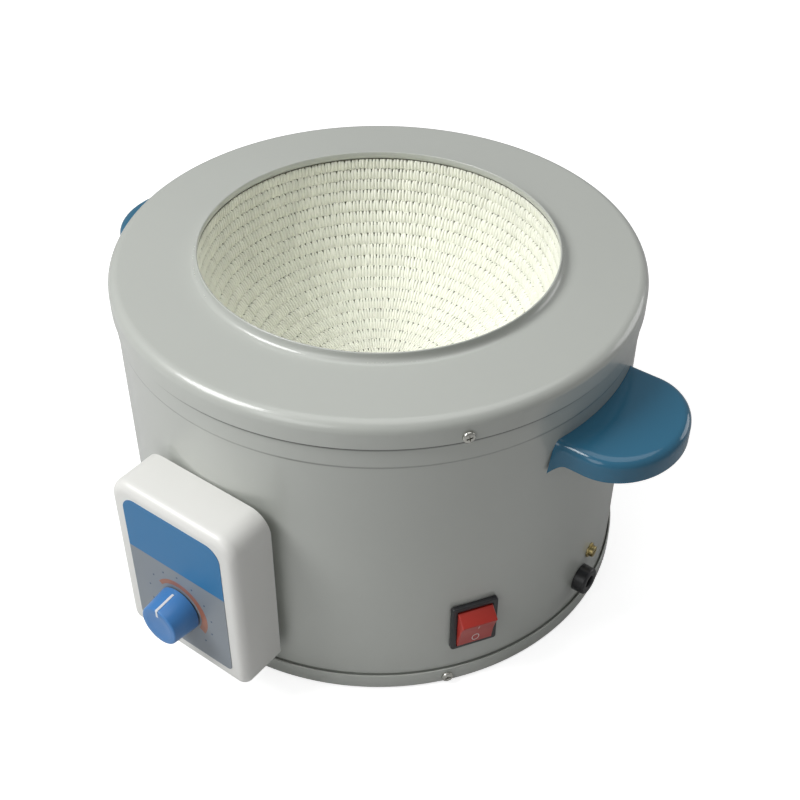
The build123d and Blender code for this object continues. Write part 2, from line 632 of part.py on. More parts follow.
with BuildPart() as box_shell:
    with BuildSketch(wall_plane(0, BOX_MID_Z, BOX_BACK)):
        add(box_outline(0))
    extrude(amount=BOX_D)
    fillet(box_shell.faces().sort_by(Axis.Y)[0].edges(), BOX_FRONT_ROUND)
    with BuildSketch(wall_plane(0, BOX_MID_Z, BOX_BACK)):
        add(box_outline(BOX_SHELL))
    extrude(amount=BOX_D - PANEL_T, mode=Mode.SUBTRACT)
    for post_z in POST_Z:
        with BuildSketch(wall_plane(0, post_z, BOX_BACK + BACK_PLATE + TOUCH)):
            with Locations((-POST_X, 0), (POST_X, 0)):
                Circle(POST_R)
        extrude(amount=BOX_D - PANEL_T - BACK_PLATE + POST_IN)
    with BuildSketch(wall_plane(0, KNOB_Z, BOX_BACK)):
        Circle(BUSH_R + FIT)
    extrude(amount=BOX_D + 1, mode=Mode.SUBTRACT)
    for post_z in POST_Z:
        with BuildSketch(wall_plane(0, post_z, BOX_BACK)):
            with Locations((-POST_X, 0), (POST_X, 0)):
                Circle(BOX_SCREW_R + FIT / 2)
        extrude(amount=BOX_D / 2 - POST_IN, mode=Mode.SUBTRACT)

with BuildPart() as box_back:
    with BuildSketch(wall_plane(0, BOX_MID_Z, BOX_BACK)):
        add(box_outline(BOX_SHELL + 0.1))
    extrude(amount=BACK_PLATE)
    with BuildSketch(wall_plane(0, MOUNT_Z, BOX_BACK)):
        Circle(SCREW_R + FIT)
        with Locations((0, -MOUNT_STEP)):
            Circle(GROMMET_R + 2 * FIT)
        with Locations((0, -2 * MOUNT_STEP)):
            Circle(SCREW_R + FIT)
    extrude(amount=BACK_PLATE, mode=Mode.SUBTRACT)
    for post_z in POST_Z:
        with BuildSketch(wall_plane(0, post_z, BOX_BACK)):
            with Locations((-POST_X, 0), (POST_X, 0)):
                Circle(BOX_SCREW_R + FIT)
        extrude(amount=BACK_PLATE, mode=Mode.SUBTRACT)

# countersunk from the back into the four posts
box_screw_parts = []
for post_z in POST_Z:
    for side in (-1, 1):
        with BuildPart() as box_screw:
            with BuildSketch(wall_plane(0, post_z, BOX_BACK - TOUCH)):
                with Locations((side * POST_X, 0)):
                    Circle(2 * BOX_SCREW_R)
            extrude(amount=TOUCH * 2 - BOX_GAP)
            with BuildSketch(wall_plane(0, post_z, BOX_BACK - TOUCH)):
                with Locations((side * POST_X, 0)):
                    Circle(BOX_SCREW_R)
            extrude(amount=BOX_D / 2 - 2 * POST_IN)
        box_screw_parts.append(box_screw.part)

# two screws hold the box's back to the case, nuts inside the case
mount_screw_parts = []
mount_nut_parts = []
for mount_z in (MOUNT_Z, MOUNT_Z - 2 * MOUNT_STEP):
    seat = wall_plane(0, mount_z, BOX_BACK + BACK_PLATE + TOUCH)
    mount_screw_parts.append(pan_screw(seat, BACK_PLATE + BOX_BACK - WALL_IN_R + NUT_DROP + NUT_H + 1.5))
    inside = wall_plane(0, mount_z, WALL_IN_R - NUT_DROP - TOUCH)
    mount_nut_parts.append(hex_nut(inside, SCREW_R, NUT_AF, NUT_H))

GROMMET_Z = MOUNT_Z - MOUNT_STEP
GROMMET_LIP = 2.0
with BuildPart() as lead_grommet:
    with BuildSketch(wall_plane(0, GROMMET_Z, WALL_IN_R - GROMMET_LIP - SOFT_GAP)):
        Circle(GROMMET_R)
        Circle(GROMMET_BORE, mode=Mode.SUBTRACT)
    extrude(amount=BOX_BACK + BACK_PLATE - WALL_IN_R + 2 * GROMMET_LIP + SOFT_GAP)
    with BuildSketch(wall_plane(0, GROMMET_Z, WALL_IN_R - SOFT_GAP)):
        Circle(GROMMET_FLANGE_R)
        Circle(GROMMET_BORE, mode=Mode.SUBTRACT)
    extrude(amount=-GROMMET_LIP)
    with BuildSketch(wall_plane(0, GROMMET_Z, BOX_BACK + BACK_PLATE + TOUCH)):
        Circle(GROMMET_FLANGE_R)
        Circle(GROMMET_BORE, mode=Mode.SUBTRACT)
    extrude(amount=GROMMET_LIP)

with BuildPart() as front_label:
    with BuildSketch(wall_plane(0, (FILM_Z0 + FILM_Z1) / 2, BOX_FRONT + TOUCH)):
        RectangleRounded(FILM_W, FILM_Z1 - FILM_Z0, FILM_CORNER)
        with Locations((0, KNOB_Z - (FILM_Z0 + FILM_Z1) / 2)):
            Circle(BUSH_R + FIT, mode=Mode.SUBTRACT)
    extrude(amount=FILM_T)

# ---------------------------------------------------------------- electronics
CARD_STAND = 7.0          # card over the back plate
CARD_T = 1.6
CARD_W = 58.0
CARD_H = 40.0
CARD_HOLES = (50.0, 32.0)
PEG_R = 1.6
CARD_BACK = BOX_BACK + BACK_PLATE + CARD_STAND
with BuildPart() as circuit_board:
    with BuildSketch(wall_plane(0, CARD_Z, CARD_BACK)):
        RectangleRounded(CARD_W, CARD_H, 2)
        with GridLocations(*CARD_HOLES, 2, 2):
            Circle(PEG_R + FIT, mode=Mode.SUBTRACT)
        with Locations((0, CARD_DROP)):
            Circle(SCREW_HEAD_R + 1, mode=Mode.SUBTRACT)
    extrude(amount=CARD_T)

# four moulded spacers carry the card on the back plate
spacer_parts = []
for corner in GridLocations(*CARD_HOLES, 2, 2).locations:
    with BuildPart() as card_spacer:
        with BuildSketch(wall_plane(0, CARD_Z, BOX_BACK + BACK_PLATE + TOUCH)):
            with Locations(corner):
                Circle(PEG_R + 1.4)
        extrude(amount=CARD_STAND - 2 * TOUCH)
        with BuildSketch(wall_plane(0, CARD_Z, CARD_BACK - TOUCH)):
            with Locations(corner):
                Circle(PEG_R)
        extrude(amount=CARD_T + 1.2)
    spacer_parts.append(card_spacer.part)

CARD_FRONT = CARD_BACK + CARD_T + TOUCH
with BuildPart() as heat_sink:
    with BuildSketch(wall_plane(0, CARD_Z, CARD_FRONT)):
        with Locations((-13, -1)):
            Rectangle(1.6, 26)
        for fin in range(5):
            with Locations((-17.5, -13.2 + 6.1 * fin)):
                Rectangle(9, 1.2)
    extrude(amount=10)

with BuildPart() as triac:
    with BuildSketch(wall_plane(0, CARD_Z, CARD_FRONT + 1.2)):
        with Locations((-9.75, -1)):
            Rectangle(4.6, 10)
    extrude(amount=9)
    with BuildSketch(wall_plane(0, CARD_Z, CARD_FRONT)):
        with Locations((-9.75, -3.5), (-9.75, -1), (-9.75, 1.5)):
            Circle(0.5)
    extrude(amount=1.4)

capacitor_parts = []
for cap_x, cap_y, cap_w, cap_h, cap_t in ((6, -2, 12, 17, 9), (20, 2, 7, 12, 7)):
    with BuildPart() as capacitor:
        with BuildSketch(wall_plane(0, CARD_Z, CARD_FRONT)):
            with Locations((cap_x, cap_y)):
                RectangleRounded(cap_w, cap_h, 1)
        extrude(amount=cap_t)
    capacitor_parts.append(capacitor.part)

POT_BODY_R = 8.2
BUSH_NUT_H = 2.0
POT_BODY_H = 9.0
PANEL_IN = BOX_FRONT - PANEL_T
with BuildPart() as potentiometer:
    with BuildSketch(wall_plane(0, KNOB_Z, PANEL_IN - POT_BODY_H - TOUCH)):
        Circle(POT_BODY_R)
    extrude(amount=POT_BODY_H)
    with BuildSketch(wall_plane(0, KNOB_Z, PANEL_IN - TOUCH)):
        Circle(BUSH_R)
    extrude(amount=PANEL_T + FILM_T + BUSH_NUT_H + 0.6)
    with BuildSketch(wall_plane(0, KNOB_Z, PANEL_IN - POT_BODY_H)):
        Circle(SHAFT_R + 0.05)
    extrude(amount=POT_BODY_H + BOX_D, mode=Mode.SUBTRACT)
    with BuildSketch(wall_plane(0, KNOB_Z, PANEL_IN - POT_BODY_H + 0.6)):
        with Locations((-5, -POT_BODY_R - 3), (0, -POT_BODY_R - 3), (5, -POT_BODY_R - 3)):
            Rectangle(1.6, 10)
    extrude(amount=0.6)

with BuildPart() as potentiometer_nut:
    with BuildSketch(wall_plane(0, KNOB_Z, BOX_FRONT + FILM_T + 2 * TOUCH)):
        RegularPolygon(BUSH_R + BUSH_NUT, 6, major_radius=False)
        Circle(BUSH_R + FIT / 2, mode=Mode.SUBTRACT)
    extrude(amount=BUSH_NUT_H)

KNOB_BACK = BOX_FRONT + FILM_T + KNOB_GAP
KNOB_FRONT = KNOB_BACK + KNOB_H
with BuildPart() as potentiometer_shaft:
    with BuildSketch(wall_plane(0, KNOB_Z, PANEL_IN - POT_BODY_H + 1)):
        Circle(SHAFT_R)
    extrude(amount=KNOB_FRONT - KNOB_CAP - 0.2 - PANEL_IN + POT_BODY_H - 1)

knob_slope = degrees(atan2(KNOB_BASE_R - KNOB_FACE_R, KNOB_H))
with BuildPart() as knob:
    with BuildSketch(Plane.YZ):
        with BuildLine():
            Polyline(
                (-KNOB_BACK, KNOB_Z),
                (-KNOB_BACK, KNOB_Z + KNOB_BASE_R),
                (-KNOB_FRONT + 0.6, KNOB_Z + KNOB_FACE_R + 0.05),
                (-KNOB_FRONT, KNOB_Z + KNOB_FACE_R - 0.6),
                (-KNOB_FRONT, KNOB_Z),
                close=True,
            )
        make_face()
    revolve(axis=Axis((0, 0, KNOB_Z), (0, 1, 0)))
    # recess over the nut, then the blind hole for the shaft
    with BuildSketch(wall_plane(0, KNOB_Z, KNOB_BACK)):
        Circle(KNOB_RECESS_R)
    extrude(amount=KNOB_RECESS_H, mode=Mode.SUBTRACT)
    with BuildSketch(wall_plane(0, KNOB_Z, KNOB_BACK)):
        Circle(SHAFT_R + 0.03)
    extrude(amount=KNOB_H - KNOB_CAP, mode=Mode.SUBTRACT)
    # groove of the pointer, along the side and onto the face
    with BuildSketch(wall_plane(0, KNOB_Z, KNOB_BACK + 3.0)):
        with Locations((0, KNOB_FACE_R + 0.9)):
            Rectangle(POINTER_W, 3.2)
    extrude(amount=KNOB_H, mode=Mode.SUBTRACT)
    with BuildSketch(wall_plane(0, KNOB_Z, KNOB_FRONT)):
        with Locations((0, KNOB_FACE_R - 2.2)):
            Rectangle(POINTER_W, 4.6)
    extrude(amount=-1.0, mode=Mode.SUBTRACT)

with BuildPart() as knob_pointer:
    inner_top = KNOB_FACE_R - 0.66
    with BuildSketch(Plane.YZ.offset(-POINTER_W / 2 + 0.05)):
        with BuildLine():
            y_front = -(KNOB_FRONT + 0.05)
            z_face = KNOB_Z + KNOB_FACE_R
            z_base = KNOB_Z + KNOB_FACE_R + tan(radians(knob_slope)) * (KNOB_H - 3.05)
            Polyline(
                (-(KNOB_BACK + 3.05), KNOB_Z + inner_top),
                (-(KNOB_BACK + 3.05), z_base),
                (y_front, z_face),
                (y_front, KNOB_Z + KNOB_FACE_R - 4.45),
                (-(KNOB_FRONT - 0.95), KNOB_Z + KNOB_FACE_R - 4.45),
                (-(KNOB_FRONT - 0.95), KNOB_Z + inner_top),
                close=True,
            )
        make_face()
    extrude(amount=POINTER_W - 0.1)

# ---------------------------------------------------------------- rocker switch
switch_back = WALL_R + TOUCH
bezel_front = switch_back + BEZEL_T
PIVOT_IN = 4.6            # pivot below the bezel's front
PIN_R = 1.5
WELL_H = 2 * (ROCKER_END_R + ROCKER_PLAY)
WELL_DEEP = 6.0           # well below the pivot
with BuildPart() as switch_housing:
    with BuildSketch(wall_plane(SWITCH_AZ, SWITCH_Z, switch_back)):
        RectangleRounded(BEZEL_W, BEZEL_H, 2.0)
    extrude(amount=BEZEL_T)
    outward = wall_plane(SWITCH_AZ, SWITCH_Z, 0).z_dir
    bezel_face = switch_housing.faces().sort_by(lambda f: f.center().dot(outward))[-1]
    chamfer(bezel_face.edges(), 0.6)
    with BuildSketch(wall_plane(SWITCH_AZ, SWITCH_Z, switch_back)):
        Rectangle(SWITCH_BODY_W, SWITCH_BODY_H)
    extrude(amount=-SWITCH_BODY_D)
    with BuildSketch(wall_plane(SWITCH_AZ, SWITCH_Z, bezel_front)):
        Rectangle(ROCKER_W + 2 * ROCKER_PLAY, WELL_H)
    extrude(amount=-PIVOT_IN - WELL_DEEP, mode=Mode.SUBTRACT)
    pivot = wall_plane(SWITCH_AZ, SWITCH_Z, bezel_front - PIVOT_IN)
    pin_plane = Plane(origin=pivot.origin, x_dir=pivot.z_dir, z_dir=pivot.x_dir)
    with BuildSketch(pin_plane.offset(-SWITCH_BODY_W / 2 - 1)):
        Circle(PIN_R + 0.05)
    extrude(amount=SWITCH_BODY_W + 2, mode=Mode.SUBTRACT)

# The rocker is drawn about its pivot, even on both sides: x points out of the well and y
# towards the raised end. Two ridges carry a dished face, and steep facets close the ends.
ridge_turn = radians(ROCKER_SPREAD / 2)
end_turn = radians(ROCKER_END_SPREAD / 2)
ridge_x = ROCKER_RIDGE_R * cos(ridge_turn)
ridge_y = ROCKER_RIDGE_R * sin(ridge_turn)
end_x = ROCKER_END_R * cos(end_turn)
end_y = ROCKER_END_R * sin(end_turn)
lean = radians(ROCKER_ANGLE / 2)
rocker_x = pivot.z_dir * cos(lean) - pivot.y_dir * sin(lean)
with BuildPart() as switch_rocker:
    with BuildSketch(Plane(origin=pivot.origin, x_dir=rocker_x, z_dir=-pivot.x_dir)):
        with BuildLine():
            Polyline(
                (end_x, end_y),
                (ridge_x, ridge_y),
                (ridge_x - 0.75 * ROCKER_DISH, ridge_y / 2),
                (ridge_x - ROCKER_DISH, 0),
                (ridge_x - 0.75 * ROCKER_DISH, -ridge_y / 2),
                (ridge_x, -ridge_y),
                (end_x, -end_y),
                (-PIN_R, -0.9 * end_y),
                (-2 * PIN_R, -end_y / 2),
                (-2 * PIN_R, end_y / 2),
                (-PIN_R, 0.9 * end_y),
                close=True,
            )
        make_face()
    extrude(amount=ROCKER_W / 2, both=True)
    with BuildSketch(pin_plane.offset(-SWITCH_BODY_W / 2 + 0.1)):
        Circle(PIN_R)
    extrude(amount=SWITCH_BODY_W - 0.2)

terminal_parts = []
for blade_x in (-5.5, 5.5):
    for blade_y in (-8, 8):
        with BuildPart() as blade:
            with BuildSketch(wall_plane(SWITCH_AZ, SWITCH_Z, switch_back - SWITCH_BODY_D - TOUCH)):
                with Locations((blade_x, blade_y)):
                    Rectangle(0.8, 6.3)
            extrude(amount=-8)
        terminal_parts.append(blade.part)

# ---------------------------------------------------------------- earth screw and cable bushing
earth_seat = wall_plane(EARTH_AZ, EARTH_Z, WALL_R + TOUCH)
with BuildPart() as earth_screw:
    with BuildSketch(earth_seat):
        Circle(5.0)
    extrude(amount=0.9)
    with BuildSketch(earth_seat.offset(0.9)):
        Circle(4.3)
    extrude(amount=2.6)
    with BuildSketch(earth_seat.offset(3.5)):
        Rectangle(10, 1.1)
    extrude(amount=-1.3, mode=Mode.SUBTRACT)
    with BuildSketch(earth_seat):
        Circle(EARTH_R)
    extrude(amount=-8.5)
earth_drop = WALL_IN_R - sqrt(WALL_IN_R**2 - 4.7**2)
earth_nut_seat = wall_plane(EARTH_AZ, EARTH_Z, WALL_IN_R - earth_drop - TOUCH)
earth_nut = hex_nut(earth_nut_seat, EARTH_R, 8.0, 3.2)

with BuildPart() as cable_bushing:
    with BuildSketch(wall_plane(BUSHING_AZ, BUSHING_Z, WALL_R + TOUCH)):
        Circle(BUSHING_R)
    extrude(amount=BUSHING_OUT - 1.2)
    with BuildSketch(wall_plane(BUSHING_AZ, BUSHING_Z, WALL_R + TOUCH + BUSHING_OUT - 1.2)):
        Circle(BUSHING_R)
    extrude(amount=1.2, taper=40)
    with BuildSketch(wall_plane(BUSHING_AZ, BUSHING_Z, WALL_R + TOUCH)):
        Circle(BUSHING_NECK)
    extrude(amount=-9)
    with BuildSketch(wall_plane(BUSHING_AZ, BUSHING_Z, WALL_R - 20)):
        Circle(BUSHING_BORE)
    extrude(amount=40, mode=Mode.SUBTRACT)
bushing_drop = WALL_IN_R - sqrt(WALL_IN_R**2 - 9.3**2)
bushing_nut_seat = wall_plane(BUSHING_AZ, BUSHING_Z, WALL_IN_R - bushing_drop - TOUCH)
bushing_nut = hex_nut(bushing_nut_seat, BUSHING_NECK, 16.0, 3.5)

# ---------------------------------------------------------------- export
single = {
    "top_cover": top_cover.part,
    "side_wall": side_wall.part,
    "bottom_pan": bottom_pan.part,
    "heating_bowl": heating_bowl.part,
    "insulation": insulation.part,
    "inner_pot": inner_pot.part,
    "terminal_block": terminal_block.part,
    "handle_right": handle_right.part,
    "handle_left": handle_left.part,
    "box_shell": box_shell.part,
    "box_back": box_back.part,
    "lead_grommet": lead_grommet.part,
    "front_label": front_label.part,
    "circuit_board": circuit_board.part,
    "heat_sink": heat_sink.part,
    "triac": triac.part,
    "potentiometer": potentiometer.part,
    "potentiometer_nut": potentiometer_nut.part,
    "potentiometer_shaft": potentiometer_shaft.part,
    "knob": knob.part,
    "knob_pointer": knob_pointer.part,
    "switch_housing": switch_housing.part,
    "switch_rocker": switch_rocker.part,
    "earth_screw": earth_screw.part,
    "earth_nut": earth_nut,
    "cable_bushing": cable_bushing.part,
    "bushing_nut": bushing_nut,
}
groups = {
    "cover_screws": cover_screw_parts,
    "cover_nuts": cover_nut_parts,
    "base_screws": base_screw_parts,
    "base_nuts": base_nut_parts,
    "element_leads": lead_parts,
    "lead_sleeves": sleeve_parts,
    "block_screws": block_screw_parts,
    "block_nuts": block_nut_parts,
    "handle_screws": handle_screw_parts,
    "box_screws": box_screw_parts,
    "box_mount_screws": mount_screw_parts,
    "box_mount_nuts": mount_nut_parts,
    "card_spacers": spacer_parts,
    "capacitors": capacitor_parts,
    "switch_terminals": terminal_parts,
}
for name, part in single.items():
    part.label = name
    export_step(part, f"parts/{name}.step")
for name, members in groups.items():
    group = Compound(label=name, children=members)
    export_step(group, f"parts/{name}.step")
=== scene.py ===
# %% [markdown]
# # A laboratory heating mantle
#
# A heating mantle is a round sheet metal case with a knitted glass yarn bowl in it. A round
# flask sits in the bowl and is warmed from all sides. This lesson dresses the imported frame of
# one: the frame gives every size, and each visible piece is modelled again with finer detail.

# %% Load the frame
import math
import random

import bmesh
import bpy
import numpy as np
from mathutils import Matrix, Vector


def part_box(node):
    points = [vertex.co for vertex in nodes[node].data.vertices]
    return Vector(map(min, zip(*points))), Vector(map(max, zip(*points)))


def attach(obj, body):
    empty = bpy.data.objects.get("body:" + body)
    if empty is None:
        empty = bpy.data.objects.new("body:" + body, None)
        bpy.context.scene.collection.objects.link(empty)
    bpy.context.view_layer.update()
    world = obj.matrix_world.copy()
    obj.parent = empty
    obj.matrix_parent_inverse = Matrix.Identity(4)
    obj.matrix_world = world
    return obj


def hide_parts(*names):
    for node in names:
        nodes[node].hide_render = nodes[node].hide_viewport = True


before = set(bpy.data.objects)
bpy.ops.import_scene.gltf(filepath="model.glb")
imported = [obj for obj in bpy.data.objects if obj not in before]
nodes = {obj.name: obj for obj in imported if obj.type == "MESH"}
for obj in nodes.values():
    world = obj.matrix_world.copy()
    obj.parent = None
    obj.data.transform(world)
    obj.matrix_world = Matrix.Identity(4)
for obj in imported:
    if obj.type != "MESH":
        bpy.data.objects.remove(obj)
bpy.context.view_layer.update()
MM = 0.001

# %% [markdown]
# ## Sizes
#
# The driving sizes are read from the frame's own boxes, so that a piece always fits the part
# that it dresses. Only what a box can't tell, such as a rounding, is written as a number. All
# of them are millimetres.

# %% Read the sizes
def low(node):
    """The lower corner of a frame part's box, in millimetres."""
    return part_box(node)[0] / MM


def high(node):
    """Its upper corner."""
    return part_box(node)[1] / MM


COVER_R = high("top_cover").x
COLLAR_Z = high("top_cover").z
SKIRT_Z = low("top_cover").z
COVER_Z = 186.0
COLLAR_R = 93.9
SHEET = 1.0
WALL_R = 138.3
BAND_R = high("side_wall").x
WALL_Z0 = low("side_wall").z
WALL_Z1 = high("side_wall").z
JOGGLE_Z = 159.7
PAN_R = high("bottom_pan").x
PAN_Z = high("bottom_pan").z
BOWL_R = 94.5
BOWL_Z = 186.2
ROWS = 23
STEP = math.radians(90.0 / ROWS)
AROUND = 256
print("cover", COVER_R, COLLAR_Z, SKIRT_Z)
print("wall", BAND_R, WALL_Z0, WALL_Z1, "pan", PAN_R, PAN_Z)

# %% [markdown]
# ## Working as by hand
#
# Nearly every piece is built with the operators that a person would press keys for. An operator
# acts on whatever is selected, so these helpers first deselect everything, then pick faces or
# edges by where they lie. A rounding or a cut is then one readable line.

# %% Small helpers
def deselect():
    """Leaves edit mode and selects nothing, as every new primitive needs."""
    if bpy.context.object and bpy.context.object.mode != "OBJECT":
        bpy.ops.object.mode_set(mode="OBJECT")
    bpy.ops.object.select_all(action="DESELECT")


def choose(piece):
    """Selects one piece alone and makes it the active one."""
    deselect()
    bpy.context.view_layer.objects.active = piece
    piece.select_set(True)


def bake_place(piece):
    """Puts a finished piece's place into its mesh, so that its object sits at the origin."""
    choose(piece)
    bpy.ops.object.transform_apply(location=True, rotation=True, scale=True)


def edit(piece, kind="FACE"):
    """Opens a piece in edit mode with nothing selected."""
    choose(piece)
    bpy.ops.object.mode_set(mode="EDIT")
    bpy.ops.mesh.select_mode(type=kind)
    bpy.ops.mesh.select_all(action="DESELECT")
    return bmesh.from_edit_mesh(piece.data)


def pick(mesh, parts, test):
    """Selects the faces, edges or vertices that pass a test."""
    for part in parts:
        if test(part):
            part.select_set(True)
    mesh.select_flush_mode()


def face_outward():
    """Turns every face of the open piece outward, then leaves edit mode."""
    bpy.ops.mesh.select_all(action="SELECT")
    bpy.ops.mesh.normals_make_consistent(inside=False)
    bpy.ops.object.mode_set(mode="OBJECT")


def middle(edge):
    """The middle of an edge, in millimetres."""
    return (edge.verts[0].co + edge.verts[1].co) / 2 / MM


def smooth(piece, degrees=32):
    """Smooth shading, with edges sharper than the angle kept crisp."""
    choose(piece)
    bpy.ops.object.shade_smooth_by_angle(angle=math.radians(degrees))


def apply_modifiers(piece):
    """Makes a piece's modifiers part of its mesh."""
    choose(piece)
    for name in [m.name for m in piece.modifiers]:
        bpy.ops.object.modifier_apply(modifier=name)


def finish_piece(piece, name, body, material, instead_of=()):
    """Names a piece, gives it its finish, and sets it on its body."""
    piece.name = name
    piece.data.name = name
    piece.data.materials.clear()
    piece.data.materials.append(material)
    bake_place(piece)
    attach(piece, body)
    if instead_of:
        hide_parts(*instead_of)
    print("made", name, len(piece.data.polygons), "faces")
    return piece


def arc(centre, radius, start, end, steps):
    """Points of a rounding in a profile, angles in degrees."""
    turns = [math.radians(start + (end - start) * i / steps) for i in range(steps + 1)]
    return [(centre[0] + radius * math.cos(t), centre[1] + radius * math.sin(t)) for t in turns]


def turned(profile, segments):
    """A ring drawn up step by step: extrude the rim, move it, widen it, and close it at its start."""
    deselect()
    (r0, z0) = profile[0]
    bpy.ops.mesh.primitive_circle_add(vertices=segments, radius=r0 * MM, location=(0, 0, z0 * MM))
    piece = bpy.context.object
    bake_place(piece)
    bpy.ops.object.mode_set(mode="EDIT")
    bpy.ops.mesh.select_mode(type="EDGE")
    bpy.ops.mesh.select_all(action="SELECT")
    for (ra, za), (rb, zb) in zip(profile, profile[1:] + profile[:1]):
        bpy.ops.mesh.extrude_edges_move(TRANSFORM_OT_translate={"value": (0, 0, (zb - za) * MM)})
        grow = rb / ra
        bpy.ops.transform.resize(value=(grow, grow, 1), center_override=(0, 0, zb * MM))
    bpy.ops.mesh.select_all(action="SELECT")
    bpy.ops.mesh.remove_doubles(threshold=2e-6)
    face_outward()
    return piece

# %% [markdown]
# ## Finishes
#
# Real surfaces are never one flat colour. One node group holds the shared effects: a slow change
# of tone, an uneven gloss and the orange peel of baked enamel. Each material then has its own
# Principled shader with its own values.

# %% Build the shared effects
def new_group(name, inputs, outputs):
    """An empty node group with its sockets."""
    group = bpy.data.node_groups.new(name, "ShaderNodeTree")
    for label, value in inputs:
        kind = "NodeSocketColor" if isinstance(value, tuple) else "NodeSocketFloat"
        socket = group.interface.new_socket(name=label, in_out="INPUT", socket_type=kind)
        socket.default_value = value
    for label, kind in outputs:
        group.interface.new_socket(name=label, in_out="OUTPUT", socket_type=kind)
    source = group.nodes.new("NodeGroupInput")
    sink = group.nodes.new("NodeGroupOutput")
    return group, source, sink


def link(tree, a, b):
    tree.links.new(a, b)


def math_node(tree, kind, a, b=None, c=None):
    """One sum. Each value is a number or the socket that it comes from."""
    node = tree.nodes.new("ShaderNodeMath")
    node.operation = kind
    for place, value in enumerate((a, b, c)):
        if value is None:
            continue
        if isinstance(value, (int, float)):
            node.inputs[place].default_value = value
        else:
            link(tree, value, node.inputs[place])
    return node.outputs[0]


def noise(tree, where, scale, detail):
    """A cloudy pattern in space."""
    node = tree.nodes.new("ShaderNodeTexNoise")
    node.inputs["Scale"].default_value = scale
    node.inputs["Detail"].default_value = detail
    link(tree, where, node.inputs["Vector"])
    return node.outputs["Fac"]


def make_surface_group():
    """Tone drift, mottle and orange peel on object coordinates."""
    group, source, sink = new_group(
        "surface_variation",
        [("Colour", (0.5, 0.5, 0.5, 1)), ("Drift", 0.06), ("Peel scale", 900.0), ("Roughness", 0.4),
         ("Rough drift", 0.08)],
        [("Colour", "NodeSocketColor"), ("Roughness", "NodeSocketFloat"), ("Height", "NodeSocketFloat")],
    )
    place = group.nodes.new("ShaderNodeTexCoord")
    slow = noise(group, place.outputs["Object"], 14.0, 3.0)
    fine = noise(group, place.outputs["Object"], 160.0, 2.0)
    slow_part = math_node(group, "MULTIPLY", slow, 0.7)
    both = math_node(group, "ADD", slow_part, math_node(group, "MULTIPLY", fine, 0.3))
    centred = math_node(group, "SUBTRACT", both, 0.5)
    swing = math_node(group, "MULTIPLY", centred, source.outputs["Drift"])
    value = math_node(group, "ADD", swing, 1.0)
    tint = group.nodes.new("ShaderNodeVectorMath")
    tint.operation = "SCALE"
    link(group, source.outputs["Colour"], tint.inputs[0])
    link(group, value, tint.inputs["Scale"])
    link(group, tint.outputs[0], sink.inputs["Colour"])
    uneven = math_node(group, "SUBTRACT", slow, 0.5)
    rough = math_node(group, "MULTIPLY", uneven, source.outputs["Rough drift"])
    link(group, math_node(group, "ADD", source.outputs["Roughness"], rough), sink.inputs["Roughness"])
    peel = group.nodes.new("ShaderNodeTexNoise")
    peel.inputs["Detail"].default_value = 1.0
    link(group, place.outputs["Object"], peel.inputs["Vector"])
    link(group, source.outputs["Peel scale"], peel.inputs["Scale"])
    link(group, peel.outputs["Fac"], sink.inputs["Height"])
    return group


SURFACE = make_surface_group()
print("shared effect", SURFACE.name)

# %% [markdown]
# Paint, plastic and metal differ in colour, gloss and grain, and not in how they are wired. One
# function wires a Principled shader to the shared group. Values that are the same all over,
# such as the coat, go straight onto the shader's own sockets.

# %% A material from the shared effects
def finish(name, colour, roughness, drift=0.06, peel_scale=900.0, peel_mm=0.004, rough_drift=0.08,
           metallic=0.0, coat=0.0, coat_roughness=0.1, specular=0.5):
    """A material with its own Principled shader, fed by the surface group."""
    material = bpy.data.materials.new(name)
    material.use_nodes = True
    tree = material.node_tree
    shader = tree.nodes["Principled BSDF"]
    group = tree.nodes.new("ShaderNodeGroup")
    group.node_tree = SURFACE
    group.inputs["Colour"].default_value = (*colour, 1)
    group.inputs["Drift"].default_value = drift
    group.inputs["Peel scale"].default_value = peel_scale
    group.inputs["Roughness"].default_value = roughness
    group.inputs["Rough drift"].default_value = rough_drift
    link(tree, group.outputs["Colour"], shader.inputs["Base Color"])
    link(tree, group.outputs["Roughness"], shader.inputs["Roughness"])
    shader.inputs["Metallic"].default_value = metallic
    shader.inputs["Coat Weight"].default_value = coat
    shader.inputs["Coat Roughness"].default_value = coat_roughness
    shader.inputs["Specular IOR Level"].default_value = specular
    bump = tree.nodes.new("ShaderNodeBump")
    bump.inputs["Strength"].default_value = 1.0
    bump.inputs["Distance"].default_value = peel_mm * MM
    link(tree, group.outputs["Height"], bump.inputs["Height"])
    link(tree, bump.outputs["Normal"], shader.inputs["Normal"])
    return material


ENAMEL_GREY = (0.50, 0.52, 0.485)
ENAMEL = finish("grey_enamel", ENAMEL_GREY, 0.36, drift=0.05, peel_scale=1400.0, peel_mm=0.008,
                coat=0.6, coat_roughness=0.12)
PLASTIC_WHITE = finish("white_plastic", (0.80, 0.80, 0.77), 0.32, drift=0.03, peel_scale=2200.0,
                       peel_mm=0.004)
PLASTIC_BLUE = finish("handle_blue", (0.030, 0.145, 0.245), 0.12, drift=0.05, peel_mm=0.003)
KNOB_BLUE = finish("knob_blue", (0.060, 0.225, 0.54), 0.30, drift=0.04)
BLACK = finish("black_plastic", (0.018, 0.019, 0.021), 0.38, drift=0.1)
RED = finish("rocker_red", (0.46, 0.035, 0.024), 0.30, drift=0.03)
FILM_BLUE = finish("film_blue", (0.032, 0.185, 0.40), 0.36, drift=0.02, peel_mm=0.002, specular=0.35)
FILM_GREY = finish("film_grey", (0.245, 0.275, 0.305), 0.36, drift=0.02, peel_mm=0.002, specular=0.35)
PRINT_ORANGE = finish("print_orange", (0.36, 0.14, 0.085), 0.35, drift=0.05)
PRINT_DARK = finish("print_dark", (0.05, 0.09, 0.16), 0.4)
